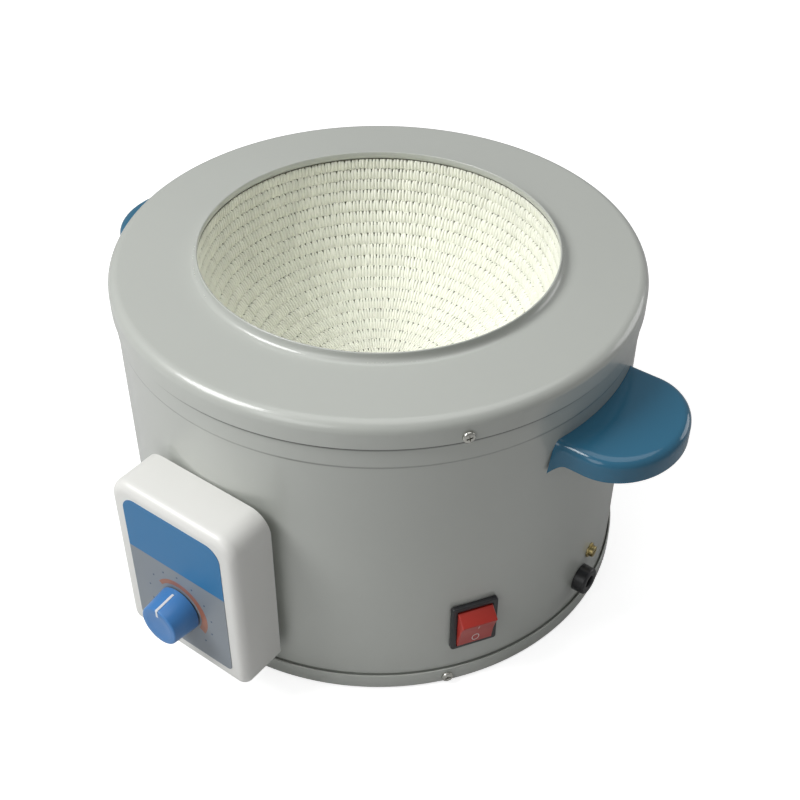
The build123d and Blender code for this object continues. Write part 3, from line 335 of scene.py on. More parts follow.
PRINT_WHITE = finish("print_white", (0.80, 0.80, 0.80), 0.35, drift=0.03)
ZINC = finish("zinc_plate", (0.52, 0.52, 0.48), 0.21, drift=0.12, metallic=1.0, rough_drift=0.16)
BRASS = finish("brass", (0.44, 0.36, 0.17), 0.36, drift=0.15, metallic=1.0, rough_drift=0.16)
STEEL = finish("plain_steel", (0.50, 0.50, 0.49), 0.38, drift=0.12, metallic=1.0, rough_drift=0.2)
ALUMINIUM = finish("aluminium", (0.72, 0.72, 0.72), 0.36, drift=0.08, metallic=1.0)
CERAMIC = finish("ceramic", (0.76, 0.73, 0.65), 0.6, drift=0.08, peel_mm=0.02)
RUBBER = finish("rubber", (0.02, 0.02, 0.02), 0.6)
BOARD = finish("circuit_board_green", (0.02, 0.14, 0.05), 0.4)
NYLON = finish("nylon", (0.72, 0.71, 0.66), 0.45)
YELLOW = finish("resin_yellow", (0.55, 0.36, 0.05), 0.35)
WOOL = finish("glass_wool", (0.66, 0.60, 0.42), 0.95, drift=0.3, peel_scale=500.0, peel_mm=0.8)
print("plain finishes", len(bpy.data.materials))

# %% [markdown]
# Where the cover's skirt, the wall's band and the pan's flange meet the wall, shade falls in a
# thin dark line. That shade is painted: the wall's own enamel gets darker in three narrow bands
# of height, on object coordinates.

# %% The wall's enamel, with painted shade in its seams
SEAMS = ((170.7, 1.0, 0.85), (159.6, 0.9, 0.5), (11.25, 0.5, 0.7))  # height, half width, strength
# painted shade: the colour that the wall darkens to under the skirt, at the joggle and above the flange
SEAM_SHADE = (0.02, 0.02, 0.018)


def height_of(tree):
    """The object's own Z, as a socket in metres."""
    place = tree.nodes.new("ShaderNodeTexCoord")
    split = tree.nodes.new("ShaderNodeSeparateXYZ")
    link(tree, place.outputs["Object"], split.inputs[0])
    return split.outputs["Z"]


def paint_over(material, mask, colour):
    """Mixes another colour into a material's own, where the mask says."""
    tree = material.node_tree
    shader = tree.nodes["Principled BSDF"]
    mix = tree.nodes.new("ShaderNodeMix")
    mix.data_type = "RGBA"
    own_colour = shader.inputs["Base Color"].links[0].from_socket
    link(tree, mask, mix.inputs[0])
    link(tree, own_colour, mix.inputs[6])
    mix.inputs[7].default_value = (*colour, 1)
    link(tree, mix.outputs[2], shader.inputs["Base Color"])
    return material


def shaded_seam_finish():
    """The case's enamel, with painted shade darkening it in a narrow band at each seam."""
    material = finish("wall_enamel", ENAMEL_GREY, 0.36, drift=0.05, peel_scale=1400.0, peel_mm=0.008,
                      coat=0.6, coat_roughness=0.10)
    tree = material.node_tree
    z = height_of(tree)
    bands = []
    for height, half, strength in SEAMS:
        off = math_node(tree, "ABSOLUTE", math_node(tree, "SUBTRACT", z, height * MM))
        bell = math_node(tree, "SUBTRACT", 1.0, math_node(tree, "DIVIDE", off, half * MM))
        bands.append(math_node(tree, "MULTIPLY", math_node(tree, "MAXIMUM", bell, 0.0), strength))
    dark = bands[0]
    for band in bands[1:]:
        dark = math_node(tree, "ADD", dark, band)
    return paint_over(material, dark, SEAM_SHADE)


WALL_ENAMEL = shaded_seam_finish()
print("wall enamel with", len(SEAMS), "seams")

# %% [markdown]
# Behind a knitted row one looks into shade. Deep holes alone stay too light, because glass yarn
# scatters light into them. The backing is therefore off-white yarn with painted shade: a dark
# furrow at each row, placed by the angle down the bowl, so that it always lies behind the holes.

# %% The cloth's back, with painted shade only where two rows meet
FURROW_R = BOWL_R + 1.0  # radius at which the furrows are placed
FURROW_AT = 0.14  # share of a row, from its top to the furrow's middle
FURROW_HALF = 0.17  # half the furrow's width, as a share of a row
FURROW_END = math.radians(85.0)
# painted shade: the colour of each furrow line behind the holes
SHADE = (0.16, 0.16, 0.12)


def furrow_finish():
    """Off-white yarn with a line of painted shade at each row, worked out from the height in the bowl."""
    material = finish("cloth_back", (0.95, 0.96, 0.88), 0.95, drift=0.05, peel_scale=1500.0, peel_mm=0.3)
    tree = material.node_tree
    below = math_node(tree, "SUBTRACT", BOWL_Z * MM, height_of(tree))
    depth = math_node(tree, "MULTIPLY", below, 1 / (FURROW_R * MM))
    held = math_node(tree, "MINIMUM", math_node(tree, "MAXIMUM", depth, 0.0), 1.0)
    turn = math_node(tree, "ARCSINE", held)
    share = math_node(tree, "FRACT", math_node(tree, "MULTIPLY", turn, 1 / STEP))
    off = math_node(tree, "ABSOLUTE", math_node(tree, "SUBTRACT", share, FURROW_AT))
    near = math_node(tree, "LESS_THAN", off, FURROW_HALF)
    mask = math_node(tree, "MULTIPLY", near, math_node(tree, "LESS_THAN", turn, FURROW_END))
    return paint_over(material, mask, SHADE)


CLOTH = furrow_finish()
print("furrows for", ROWS, "rows")

# %% [markdown]
# Glass yarn is off-white and comes from several spools, so one strand is a little darker than
# the next. Each stitch carries a number, its tone, and the material scales its colour by it. An
# attribute follows the stitches exactly, which a pattern in space wouldn't.

# %% The yarn, strand by strand
DARKEST_STRAND = 0.96
TONE_SPAN = 0.06


def yarn_finish():
    """Glass yarn whose strands differ a little in tone."""
    material = finish("glass_yarn", (0.975, 0.985, 0.885), 0.75, drift=0.06, peel_scale=2600.0, peel_mm=0.05)
    tree = material.node_tree
    shader = tree.nodes["Principled BSDF"]
    strand = tree.nodes.new("ShaderNodeAttribute")
    strand.attribute_name = "tone"
    tint = tree.nodes.new("ShaderNodeVectorMath")
    tint.operation = "SCALE"
    link(tree, shader.inputs["Base Color"].links[0].from_socket, tint.inputs[0])
    value = math_node(tree, "MULTIPLY_ADD", strand.outputs["Fac"], TONE_SPAN, DARKEST_STRAND)
    link(tree, value, tint.inputs["Scale"])
    link(tree, tint.outputs[0], shader.inputs["Base Color"])
    return material


YARN = yarn_finish()
print("yarn tone from", DARKEST_STRAND, "to", DARKEST_STRAND + TONE_SPAN)

# %% [markdown]
# ## The pressed case
#
# Cover, wall and pan are round pressings, so all three are drawn up ring by ring from a profile.
# The cover's edge has a 6 mm rounding, and its collar rises through a small bend to a rolled lip.

# %% Draw the top cover
BEND = 3.4
EDGE_R = 6.0
BREAK = 0.25  # how far the skirt's sheared edge is broken
HUB = (COLLAR_R + SHEET + BEND, COVER_Z + BEND)
EDGE = (COVER_R - EDGE_R, COVER_Z - EDGE_R)
LIP = (COLLAR_R + SHEET / 2, COLLAR_Z - SHEET / 2)
cover_profile = (
    [(COVER_R - BREAK, SKIRT_Z), (COVER_R, SKIRT_Z + BREAK)]
    + arc(EDGE, EDGE_R, 0, 90, 12)
    + arc(HUB, BEND, 270, 180, 8)
    + arc(LIP, SHEET / 2, 0, 180, 8)
    + arc(HUB, BEND + SHEET, 180, 270, 8)
    + arc(EDGE, EDGE_R - SHEET, 90, 0, 8)
    + [(COVER_R - SHEET, SKIRT_Z + BREAK), (COVER_R - SHEET + BREAK, SKIRT_Z)]
)
cover = turned(cover_profile, AROUND)
smooth(cover)
finish_piece(cover, "cover_pressing", "case", ENAMEL, ["top_cover"])

# %% [markdown]
# The wall is a strip of sheet, rolled and joined, with its top set out by half a millimetre so
# that the cover slides over it. The set-out, a joggle, is half a cosine wave: a sharp step
# would catch the light as a hard line, and the real one is soft.

# %% Roll the side wall
JOGGLE_H = 2.4
JOGGLE_STEPS = 6
joggle = []
for i in range(JOGGLE_STEPS + 1):
    rise = i / JOGGLE_STEPS
    set_out = (BAND_R - WALL_R) * (0.5 - 0.5 * math.cos(math.pi * rise))
    joggle.append((WALL_R + set_out, JOGGLE_Z + JOGGLE_H * (rise - 0.5)))
wall_profile = (
    [(WALL_R, WALL_Z0)] + joggle + [(BAND_R, WALL_Z1), (BAND_R - SHEET, WALL_Z1)]
    + [(r - SHEET, z) for r, z in reversed(joggle)] + [(WALL_R - SHEET, WALL_Z0)]
)
wall = turned(wall_profile, AROUND)
smooth(wall)
finish_piece(wall, "wall_sheet", "case", WALL_ENAMEL, ["side_wall"])

# %% [markdown]
# The pan closes the case and is its foot. Its pressed ring stands on the bench, and its flange
# turns up round the wall. It could be a disc with an inset, but a turned profile gives the
# ring, the bend and the folded lip in one go.

# %% Press the bottom pan
PLATE_R = 104.0
PLATE_Z = 4.0  # underside of the pan's middle
PAN_BEND = 3.0
PAN_CORNER = (PAN_R - PAN_BEND, PAN_BEND)
FOLD = (PAN_R - SHEET / 2, PAN_Z - SHEET / 2)
pan_profile = (
    [(PLATE_R, PLATE_Z), (107.6, PLATE_Z), (108.4, 3.6), (111.4, 0.5), (112.4, 0.0)]
    + arc(PAN_CORNER, PAN_BEND, 270, 360, 8)
    + arc(FOLD, SHEET / 2, 0, 180, 8)
    + arc(PAN_CORNER, PAN_BEND - SHEET, 360, 270, 6)
    + [(112.6, 1.0), (111.8, 1.4), (108.8, 4.4), (107.8, PLATE_Z + SHEET), (PLATE_R, PLATE_Z + SHEET)]
)
pan = turned(pan_profile, AROUND)
smooth(pan)
finish_piece(pan, "pan_rim", "case", ENAMEL, ["bottom_pan"])

# %% [markdown]
# The pan's middle is a flat plate with two rings of vent slots. A slot is a small block with
# its upright edges bevelled round, and all of them are cut from the plate in one go.

# %% Cut the vents
def join(parts):
    """Makes one piece of several."""
    deselect()
    for part in parts:
        part.select_set(True)
    bpy.context.view_layer.objects.active = parts[0]
    bpy.ops.object.join()
    return bpy.context.object


def cut(piece, tool):
    """Takes a cutting tool away from a piece, then deletes the tool."""
    for each in (piece, tool):
        bake_place(each)
    knife = piece.modifiers.new("cut", "BOOLEAN")
    knife.operation = "DIFFERENCE"
    knife.solver = "EXACT"
    knife.object = tool
    apply_modifiers(piece)
    bpy.data.objects.remove(tool)
    return piece


def block(size, place):
    """A cube of that size in millimetres, at its place."""
    deselect()
    bpy.ops.mesh.primitive_cube_add(size=1, location=[v * MM for v in place])
    piece = bpy.context.object
    piece.scale = [v * MM for v in size]
    bake_place(piece)
    return piece


def bevel_where(piece, test, width, segments):
    """Rounds the edges whose middle (in millimetres) passes a test."""
    mesh = edit(piece, "EDGE")
    pick(mesh, mesh.edges, lambda e: test(middle(e)))
    bmesh.update_edit_mesh(piece.data)
    bpy.ops.mesh.bevel(offset=width * MM, segments=segments, affect="EDGES", clamp_overlap=False)
    bpy.ops.mesh.remove_doubles(threshold=1e-6)
    face_outward()


SLOT_RINGS = ((88.0, 10), (62.0, 6))  # radius and number of slots
SLOT = (5.0, 24.0, 6.0)
SLOT_END = 2.45
PLATE_MID = PLATE_Z + SHEET / 2
slots = []
for ring_r, count in SLOT_RINGS:
    for i in range(count):
        turn = 2 * math.pi * i / count
        slot_block = block(SLOT, (0, 0, PLATE_MID))
        bevel_where(slot_block, lambda m: abs(m.z - PLATE_MID) < 1, SLOT_END, 5)
        slot_block.location = (ring_r * MM * math.cos(turn), ring_r * MM * math.sin(turn), 0)
        slot_block.rotation_euler = (0, 0, turn)
        bake_place(slot_block)
        slots.append(slot_block)
deselect()
bpy.ops.mesh.primitive_cylinder_add(
    vertices=128, radius=PLATE_R * MM, depth=SHEET * MM, location=(0, 0, PLATE_MID * MM)
)
plate = cut(bpy.context.object, join(slots))
smooth(plate)
finish_piece(plate, "pan_plate", "case", ENAMEL)

# %% [markdown]
# ## Control box
#
# The box is a moulded shell. It starts as a block: the corners seen from the front are rounded
# first, the front edge after them, and the back is inset and pushed in to leave a thin wall.

# %% Mould the control box
BOX_LOW = low("box_shell")
BOX_HIGH = high("box_shell")
BOX_MID = (BOX_LOW + BOX_HIGH) / 2
BOX_SIZE = BOX_HIGH - BOX_LOW
TOP_CORNER = 12.0
LOW_CORNER = 6.0
FRONT_EDGE = 5.2
BOX_WALL = 2.5
BOX_HOLLOW = 20.5
box = block(BOX_SIZE, BOX_MID)
bevel_where(box, lambda m: abs(m.y - BOX_MID.y) < 1 and m.z > BOX_MID.z, TOP_CORNER, 10)
bevel_where(box, lambda m: abs(m.y - BOX_MID.y) < 1 and m.z < BOX_LOW.z + 1, LOW_CORNER, 8)
bevel_where(box, lambda m: abs(m.y - BOX_LOW.y) < 0.01, FRONT_EDGE, 8)
mesh = edit(box, "FACE")
pick(mesh, mesh.faces, lambda f: f.calc_center_median().y / MM > BOX_HIGH.y - 0.01)
bpy.ops.mesh.inset(thickness=BOX_WALL * MM, depth=0)
bpy.ops.mesh.extrude_region_move(TRANSFORM_OT_translate={"value": (0, -BOX_HOLLOW * MM, 0)})
bpy.ops.object.mode_set(mode="OBJECT")
smooth(box, 40)
finish_piece(box, "box_moulding", "case", PLASTIC_WHITE, ["box_shell"])

# %% [markdown]
# The front carries a printed film in two fields, blue above grey. A material could split the
# colours, but two thin plates keep a crisp line between them and let each have its own finish.

# %% Print the label film
FILM_LOW = low("front_label")
FILM_HIGH = high("front_label")
FILM_Y = FILM_LOW.y
FILM_T = 0.25
BLUE_Z = 84.0  # the line where grey ends and blue begins


def film_field(z0, z1, top_round=0.0, low_round=0.0):
    """A thin upright field as wide as the film, with its upper or lower corners rounded."""
    mid_y = FILM_Y + FILM_T / 2
    mid_z = (z0 + z1) / 2
    field = block((FILM_HIGH.x - FILM_LOW.x, FILM_T, z1 - z0), (0, mid_y, mid_z))
    if top_round:
        bevel_where(field, lambda m: abs(m.y - mid_y) < FILM_T / 4 and m.z > mid_z, top_round, 10)
    if low_round:
        bevel_where(field, lambda m: abs(m.y - mid_y) < FILM_T / 4 and m.z < z0 + 0.5, low_round, 8)
    return field


grey_field = film_field(FILM_LOW.z, BLUE_Z, low_round=3.2)
finish_piece(grey_field, "label_grey", "case", FILM_GREY, ["front_label"])
blue_field = film_field(BLUE_Z, FILM_HIGH.z, top_round=8.5)
finish_piece(blue_field, "label_blue", "case", FILM_BLUE)

# %% [markdown]
# The print is thin geometry on the film. The power scale is a ring sector that grows wider
# clockwise, and small dots stand outside it at even steps.

# %% Print the scale
KNOB_Z = (low("knob").z + high("knob").z) / 2
PRINT_Y = FILM_Y - 0.02
PRINT_T = 0.04
SCALE_R = 16.1
SCALE_FROM, SCALE_TO = -53, 122  # degrees clockwise from straight up
SCALE_W0, SCALE_W1 = 2.5, 4.4  # width at the start and at the end
SCALE_STEPS = 48
DOTS = 11
DOT_RING = 21.5
DOT_R = 0.55
DOT_T = 0.06


def dial_point(angle, radius):
    """A point on the film about the knob's axis, angle in degrees clockwise from straight up."""
    t = math.radians(angle)
    return Vector((radius * math.sin(t), PRINT_Y, KNOB_Z + radius * math.cos(t))) * MM


def scale_band():
    """A widening ring sector, drawn out pair by pair from its first short edge."""
    deselect()
    bpy.ops.mesh.primitive_plane_add(size=1)
    band = bpy.context.object
    mesh = edit(band, "EDGE")
    bpy.ops.mesh.select_all(action="SELECT")
    bpy.ops.mesh.delete(type="VERT")
    before = None
    for i in range(SCALE_STEPS + 1):
        share = i / SCALE_STEPS
        angle = SCALE_FROM + (SCALE_TO - SCALE_FROM) * share
        half = (SCALE_W0 + (SCALE_W1 - SCALE_W0) * share) / 2
        pair = [mesh.verts.new(dial_point(angle, SCALE_R + side * half)) for side in (-1, 1)]
        if before:
            mesh.faces.new((before[0], before[1], pair[1], pair[0]))
        before = pair
    bmesh.update_edit_mesh(band.data)
    face_outward()
    thick = band.modifiers.new("thick", "SOLIDIFY")
    thick.thickness = PRINT_T * MM
    apply_modifiers(band)
    return band


finish_piece(scale_band(), "scale_arc", "case", PRINT_ORANGE)
dots = []
for step in range(DOTS):
    deselect()
    at = dial_point(-135 + 270 * step / (DOTS - 1), DOT_RING)
    bpy.ops.mesh.primitive_cylinder_add(
        vertices=20, radius=DOT_R * MM, depth=DOT_T * MM, location=at, rotation=(math.pi / 2, 0, 0)
    )
    dots.append(bpy.context.object)
finish_piece(join(dots), "scale_dots", "case", PRINT_DARK)

# %% [markdown]
# ## Knob
#
# The knob is turned like the case parts, but its axis lies level. It is drawn upright at the
# origin and then laid down. The pointer is a thin white bar, along the side and onto the face.

# %% Turn the knob
KNOB_LOW = low("knob")
KNOB_HIGH = high("knob")
KNOB_H = KNOB_HIGH.y - KNOB_LOW.y
R_BASE = (KNOB_HIGH.x - KNOB_LOW.x) / 2
R_FACE = 11.55
KNOB_ROUND = 1.1
SHAFT_R = 3.03
POINTER_W = 1.4


def lay_down(piece, back_y, height):
    """Turns an upright piece so that its +Z points to -Y, with its base at back_y."""
    piece.rotation_euler = (math.pi / 2, 0, 0)
    piece.location = (0, back_y * MM, height * MM)
    bake_place(piece)


side_and_rim = [(R_BASE - 0.4, 0.0), (R_BASE, 0.4), (R_BASE - 0.35, 4.0)]
side_and_rim += arc((R_FACE - KNOB_ROUND, KNOB_H - KNOB_ROUND), KNOB_ROUND, 8, 90, 6)
dished_face = arc((R_FACE - 3.2, KNOB_H - 0.5), 0.5, 90, 110, 2)
dished_face += [(4.0, KNOB_H - 0.25), (0.05, KNOB_H - 0.2)]
shaft_bore = [(0.05, 12.1), (SHAFT_R, 12.1), (SHAFT_R, 4.0), (7.0, 4.0), (7.0, 0.0)]
knob_profile = side_and_rim + dished_face + shaft_bore
knob = turned(knob_profile, 96)
lay_down(knob, KNOB_HIGH.y, KNOB_Z)
smooth(knob, 35)
finish_piece(knob, "knob_cap", "dial", KNOB_BLUE, ["knob"])

POINTER_LOW = low("knob_pointer")
POINTER_HIGH = high("knob_pointer")
slope = math.atan2(R_BASE - R_FACE, KNOB_H)
side_bar = block((POINTER_W, POINTER_HIGH.y - POINTER_LOW.y - 0.3, 0.7), (0, 0, 0))
side_bar.rotation_euler = (slope, 0, 0)
side_mid_y = (POINTER_HIGH.y + POINTER_LOW.y) / 2 + 0.1
side_bar.location = Vector((0, side_mid_y, KNOB_Z + R_FACE + 0.38)) * MM
bake_place(side_bar)
face_bar = block((POINTER_W, 0.5, 4.6), (0, KNOB_LOW.y + 0.2, KNOB_Z + R_FACE - 2.3))
pointer = join([side_bar, face_bar])
bevel_where(pointer, lambda m: True, 0.12, 2)
finish_piece(pointer, "pointer_line", "dial", PRINT_WHITE, ["knob_pointer"])

# %% [markdown]
# ## Screws, earth terminal and bushing
#
# Small turned parts are drawn upright at the origin, then stood on the wall at their azimuth:
# the piece's own +Z points out of the wall, and azimuth 0 looks at the control box.

# %% Stand a piece on the wall
GAP = 0.02  # left between a piece and the sheet it stands on


def wall_matrix(azimuth, height, radius):
    """The place on the wall at that azimuth (degrees), height and radius (millimetres)."""
    a = math.radians(azimuth)
    out = Vector((math.sin(a), -math.cos(a), 0))
    along = Vector((math.cos(a), math.sin(a), 0))
    at = out * radius * MM + Vector((0, 0, height * MM))
    rows = [(along[i], (0, 0, 1)[i], out[i], at[i]) for i in range(3)]
    return Matrix(rows + [(0, 0, 0, 1)])


def stand(piece, azimuth, height, radius):
    """Moves a piece from the origin to its place on the wall."""
    piece.matrix_world = wall_matrix(azimuth, height, radius) @ piece.matrix_world
    bake_place(piece)
    return piece


def copy_of(piece):
    """A second piece with a mesh of its own."""
    choose(piece)
    bpy.ops.object.duplicate()
    return bpy.context.object


print("straight ahead on the wall (mm)", [round(v / MM, 2) for v in wall_matrix(0, 0, WALL_R).translation])

# %% [markdown]
# Six zinc plated screws hold cover and pan. One head is turned, two tapered blocks cut its
# cross, and it is copied round the case with each cross at another angle, because nobody
# tightens screws to the same angle.

# %% Make one cross head screw and copy it
HEAD_R = 3.2
HEAD_H = 1.95
CROSS_W = 0.95
CROSS_DEEP = 2.3
SCREW_ROWS = (
    ("cover_screws", (53.8, 173.8, 293.8), 175.0, COVER_R),
    ("base_screws", (52.0, 172.0, 292.0), 5.6, PAN_R),
)


def cross_screw():
    """A low domed head with a cross in it, upright at the origin."""
    dome = (
        [(0.05, 0.0), (HEAD_R - 0.15, 0.0), (HEAD_R, 0.2)]
        + arc((HEAD_R - 1.1, HEAD_H - 1.25), 1.1, 20, 62, 4)
        + [(HEAD_R * 0.45, HEAD_H - 0.05), (0.05, HEAD_H)]
    )
    head = turned(dome, 48)
    long = HEAD_R * 1.3
    for size in ((long, CROSS_W, CROSS_DEEP), (CROSS_W, long, CROSS_DEEP)):
        arm = block(size, (0, 0, HEAD_H))
        mesh = edit(arm, "FACE")
        pick(mesh, mesh.faces, lambda f: f.normal.z < -0.9)
        bpy.ops.transform.resize(value=(0.6, 0.6, 1), center_override=(0, 0, 0))
        bpy.ops.object.mode_set(mode="OBJECT")
        cut(head, arm)
    smooth(head, 35)
    return head


screw = cross_screw()
for node, azimuths, height, reach in SCREW_ROWS:
    heads = []
    for place, azimuth in enumerate(azimuths):
        head = copy_of(screw)
        head.rotation_euler = (0, 0, math.radians(12 + 31 * place))
        bake_place(head)
        heads.append(stand(head, azimuth, height, reach + GAP))
    finish_piece(join(heads), node + "_heads", "case", ZINC, [node])
bpy.data.objects.remove(screw)

# %% [markdown]
# The earth screw is brass: a washer and a slotted cheese head. The bushing is a black rubber
# collar where a mains cable would go in. Its bore stays open, and its outer edge is rounded.

# %% Turn the earth screw and the bushing
EARTH_AT = (93.8, 39.5)  # azimuth in degrees and height
BUSHING_AT = (90.0, 26.0)
WASHER_R = 4.3
WASHER_H = 0.9
CHEESE_R = 3.2
CHEESE_H = 3.3
washer = turned(
    [(2.0, 0.0), (WASHER_R, 0.0), (WASHER_R, 0.7), (WASHER_R - 0.2, WASHER_H), (2.0, WASHER_H)], 48
)
cheese = turned(
    [(0.05, WASHER_H), (CHEESE_R, WASHER_H), (CHEESE_R, 3.0), (2.9, CHEESE_H), (0.05, CHEESE_H)], 48
)
cut(cheese, block((10, 1.1, 2.6), (0, 0, 3.5)))
earth = join([washer, cheese])
smooth(earth, 35)
stand(earth, *EARTH_AT, WALL_R + GAP)
finish_piece(earth, "earth_terminal", "case", BRASS, ["earth_screw"])

BORE_R = 3.6
NECK_R = 6.0
RUBBER_R = 7.8
RUBBER_H = 7.0
bushing_profile = (
    [(BORE_R, -9.0), (NECK_R, -9.0), (NECK_R, 0.0), (RUBBER_R, 0.0)]
    + arc((RUBBER_R - 1.2, RUBBER_H - 1.2), 1.2, 0, 90, 5)
    + arc((BORE_R + 0.8, RUBBER_H - 0.8), 0.8, 90, 180, 4)
)
bushing = turned(bushing_profile, 64)
smooth(bushing, 35)
stand(bushing, *BUSHING_AT, WALL_R + GAP)
finish_piece(bushing, "inlet_bushing", "case", BLACK, ["cable_bushing"])

# %% [markdown]
# ## Rocker switch
#
# The housing is a frame on a body with a well cut in it. The rocker has a ridge near each end:
# its side view is drawn as a small face, widened into a bar and bevelled.

# %% Cut the switch housing
SWITCH_AT = (57.55, 43.3)  # azimuth in degrees and height
SWITCH_OUT = 2.5
BEZEL_W, BEZEL_H = 25.5, 31.0
BODY_W, BODY_H, BODY_DEEP = 21.8, 28.0, 22.0
WELL_W, WELL_H, WELL_CUT = 20.0, 26.08, 21.2
bezel = block((BEZEL_W, BEZEL_H, SWITCH_OUT), (0, 0, SWITCH_OUT / 2))
bevel_where(bezel, lambda m: abs(m.z - SWITCH_OUT / 2) < 0.5, 1.6, 5)
bevel_where(bezel, lambda m: m.z > SWITCH_OUT - 0.01, 0.7, 3)
body = block((BODY_W, BODY_H, BODY_DEEP), (0, 0, 0.01 - BODY_DEEP / 2))
union = bezel.modifiers.new("union", "BOOLEAN")
union.operation = "UNION"
union.solver = "EXACT"
union.object = body
apply_modifiers(bezel)
bpy.data.objects.remove(body)
cut(bezel, block((WELL_W, WELL_H, WELL_CUT), (0, 0, SWITCH_OUT)))
smooth(bezel, 30)
stand(bezel, *SWITCH_AT, WALL_R + GAP)
finish_piece(bezel, "switch_frame", "case", BLACK, ["switch_housing"])

# %% [markdown]
# The rocker is a bar with a dished face between two ridges. Its side view has only the points
# that the shape needs, and the dish is a parabola. The marks are a thin ring and a bar, tilted
# to lie on the dish. Both ride on the rocker's own body and lean with it.

# %% Shape the rocker
PIVOT_IN = 4.6
LEAN = math.radians(33.3 / 2)
ROCKER_HALF = 9.7  # half the rocker's width
DISH = 0.95


def about_pivot(radius, degrees):
    """A point of the side view, (out, up), by its distance from the pivot and its angle."""
    return (radius * math.cos(math.radians(degrees)), radius * math.sin(math.radians(degrees)))


RIDGE = about_pivot(13.62, 49.05)
END = about_pivot(12.74, 84.55)
side_view = [END, RIDGE]
side_view += [(RIDGE[0] - DISH * (1 - k * k), RIDGE[1] * k) for k in (0.75, 0.5, 0.25, 0, -0.25, -0.5, -0.75)]
side_view += [(RIDGE[0], -RIDGE[1]), (END[0], -END[1])]
side_view += [(-1.5, -11.4), (-3.0, -6.3), (-3.0, 6.3), (-1.5, 11.4)]
deselect()
bpy.ops.mesh.primitive_circle_add(vertices=len(side_view), radius=1, fill_type="NGON")
rocker = bpy.context.object
mesh = edit(rocker, "FACE")
mesh.verts.ensure_lookup_table()
for vert, (x, y) in zip(mesh.verts, side_view):
    vert.co = Vector((-ROCKER_HALF, y, x)) * MM
bpy.ops.mesh.select_all(action="SELECT")
bpy.ops.mesh.extrude_region_move(TRANSFORM_OT_translate={"value": (2 * ROCKER_HALF * MM, 0, 0)})
face_outward()
bevel_where(rocker, lambda m: abs(abs(m.x) - ROCKER_HALF) < 0.01 and m.z > 0, 0.55, 3)
bevel_where(rocker, lambda m: abs(m.x) < 0.1 and m.z > RIDGE[0] - 0.2 and abs(m.y) > 9, 0.7, 4)
smooth(rocker, 30)
deselect()
bpy.ops.mesh.primitive_torus_add(
    major_segments=40, minor_segments=8, major_radius=2.35 * MM, minor_radius=0.22 * MM,
    location=(0, -5.4 * MM, (RIDGE[0] - 0.62) * MM),
)
ring_mark = bpy.context.object
ring_mark.scale = (0.8, 1.15, 0.35)
ring_mark.rotation_euler = (math.radians(-5.5), 0, 0)
bake_place(ring_mark)
bar_mark = block((0.38, 3.4, 0.12), (0, 0, 0))
bar_mark.rotation_euler = (math.radians(6.3), 0, 0)
bar_mark.location = (0, 6.2 * MM, (RIDGE[0] - 0.59) * MM)
bake_place(bar_mark)
marks = join([ring_mark, bar_mark])
for part, name, material, node in (
    (rocker, "rocker_cap", RED, ["switch_rocker"]),
    (marks, "rocker_marks", PRINT_WHITE, []),
):
    part.rotation_euler = (LEAN, 0, 0)
    bake_place(part)
    stand(part, *SWITCH_AT, WALL_R + GAP + SWITCH_OUT - PIVOT_IN)
    finish_piece(part, name, "rocker", material, node)

# %% [markdown]
# The switch and the bushing go through the wall, so the sheet has an opening behind each. They
# are cut with one tool: a block for the switch's body and a short cylinder for the bushing.

# %% Open the wall
THROUGH = 8.0
switch_way = stand(block((BODY_W, BODY_H, THROUGH), (0, 0, 0)), *SWITCH_AT, WALL_R)
deselect()
bpy.ops.mesh.primitive_cylinder_add(vertices=48, radius=(NECK_R + 0.05) * MM, depth=THROUGH * MM)
bushing_way = stand(bpy.context.object, *BUSHING_AT, WALL_R)
cut(wall, join([switch_way, bushing_way]))
smooth(wall)
print("wall with its openings", len(wall.data.polygons), "faces")

# %% [markdown]
# ## Handles
#
# A handle is a tongue with a half round end. Its outline is half a circle, stretched, with its
# two ends pulled back to the wall in steps. The block from it is rounded on top and hollowed
# from below. Near the wall its sides flare out and down into a foot.

# %% Shape one handle
HANDLE_TOP = 150.6
HANDLE_RIM = 138.0
STRAIGHT_X = WALL_R + 11.7
HALF = 38.0
REACH = 31.0
BACK_STEPS = (148.0, 146.0, 144.0, 142.0, 140.0, 138.5, 137.0, 135.5, 134.0, 132.5, 130.5)
TOP_ROUND = 4.8
SHELL = 2.4
HOLLOW = 9.0
FIT_X = 142.0  # closer in than this, the sides are drawn on to meet the wall
FOOT_HALF = 42.8  # half the foot's width at the wall
FLARE_X = 141.0  # where the flare begins
FLARE_LONG = 8.0
FLARE_OUT = 4.6
FLARE_DOWN = 5.0
FLARE_BAND = 9.0  # width of the edge that flares
deselect()
bpy.ops.mesh.primitive_circle_add(vertices=128, radius=1.0, location=(0, 0, 0))
handle = bpy.context.object
handle.scale = (REACH * MM, HALF * MM, 1)
handle.location = (STRAIGHT_X * MM, 0, HANDLE_RIM * MM)
bake_place(handle)
mesh = edit(handle, "VERT")
pick(mesh, mesh.verts, lambda v: v.co.x / MM < STRAIGHT_X - 0.01)
bpy.ops.mesh.delete(type="VERT")
mesh = bmesh.from_edit_mesh(handle.data)
pick(mesh, mesh.verts, lambda v: abs(v.co.x / MM - STRAIGHT_X) < 0.01)
here = STRAIGHT_X
for x in BACK_STEPS:
    bpy.ops.mesh.extrude_vertices_move(TRANSFORM_OT_translate={"value": ((x - here) * MM, 0, 0)})
    here = x
bpy.ops.mesh.edge_face_add()
bpy.ops.mesh.select_mode(type="EDGE")
bpy.ops.mesh.subdivide(number_cuts=19)
bpy.ops.mesh.select_all(action="SELECT")
bpy.ops.mesh.edge_face_add()
bpy.ops.mesh.extrude_region_move(TRANSFORM_OT_translate={"value": (0, 0, (HANDLE_TOP - HANDLE_RIM) * MM)})
face_outward()
bevel_where(handle, lambda m: m.z > HANDLE_TOP - 0.01 and m.x > BACK_STEPS[-1] + 0.01, TOP_ROUND, 6)
mesh = edit(handle, "FACE")
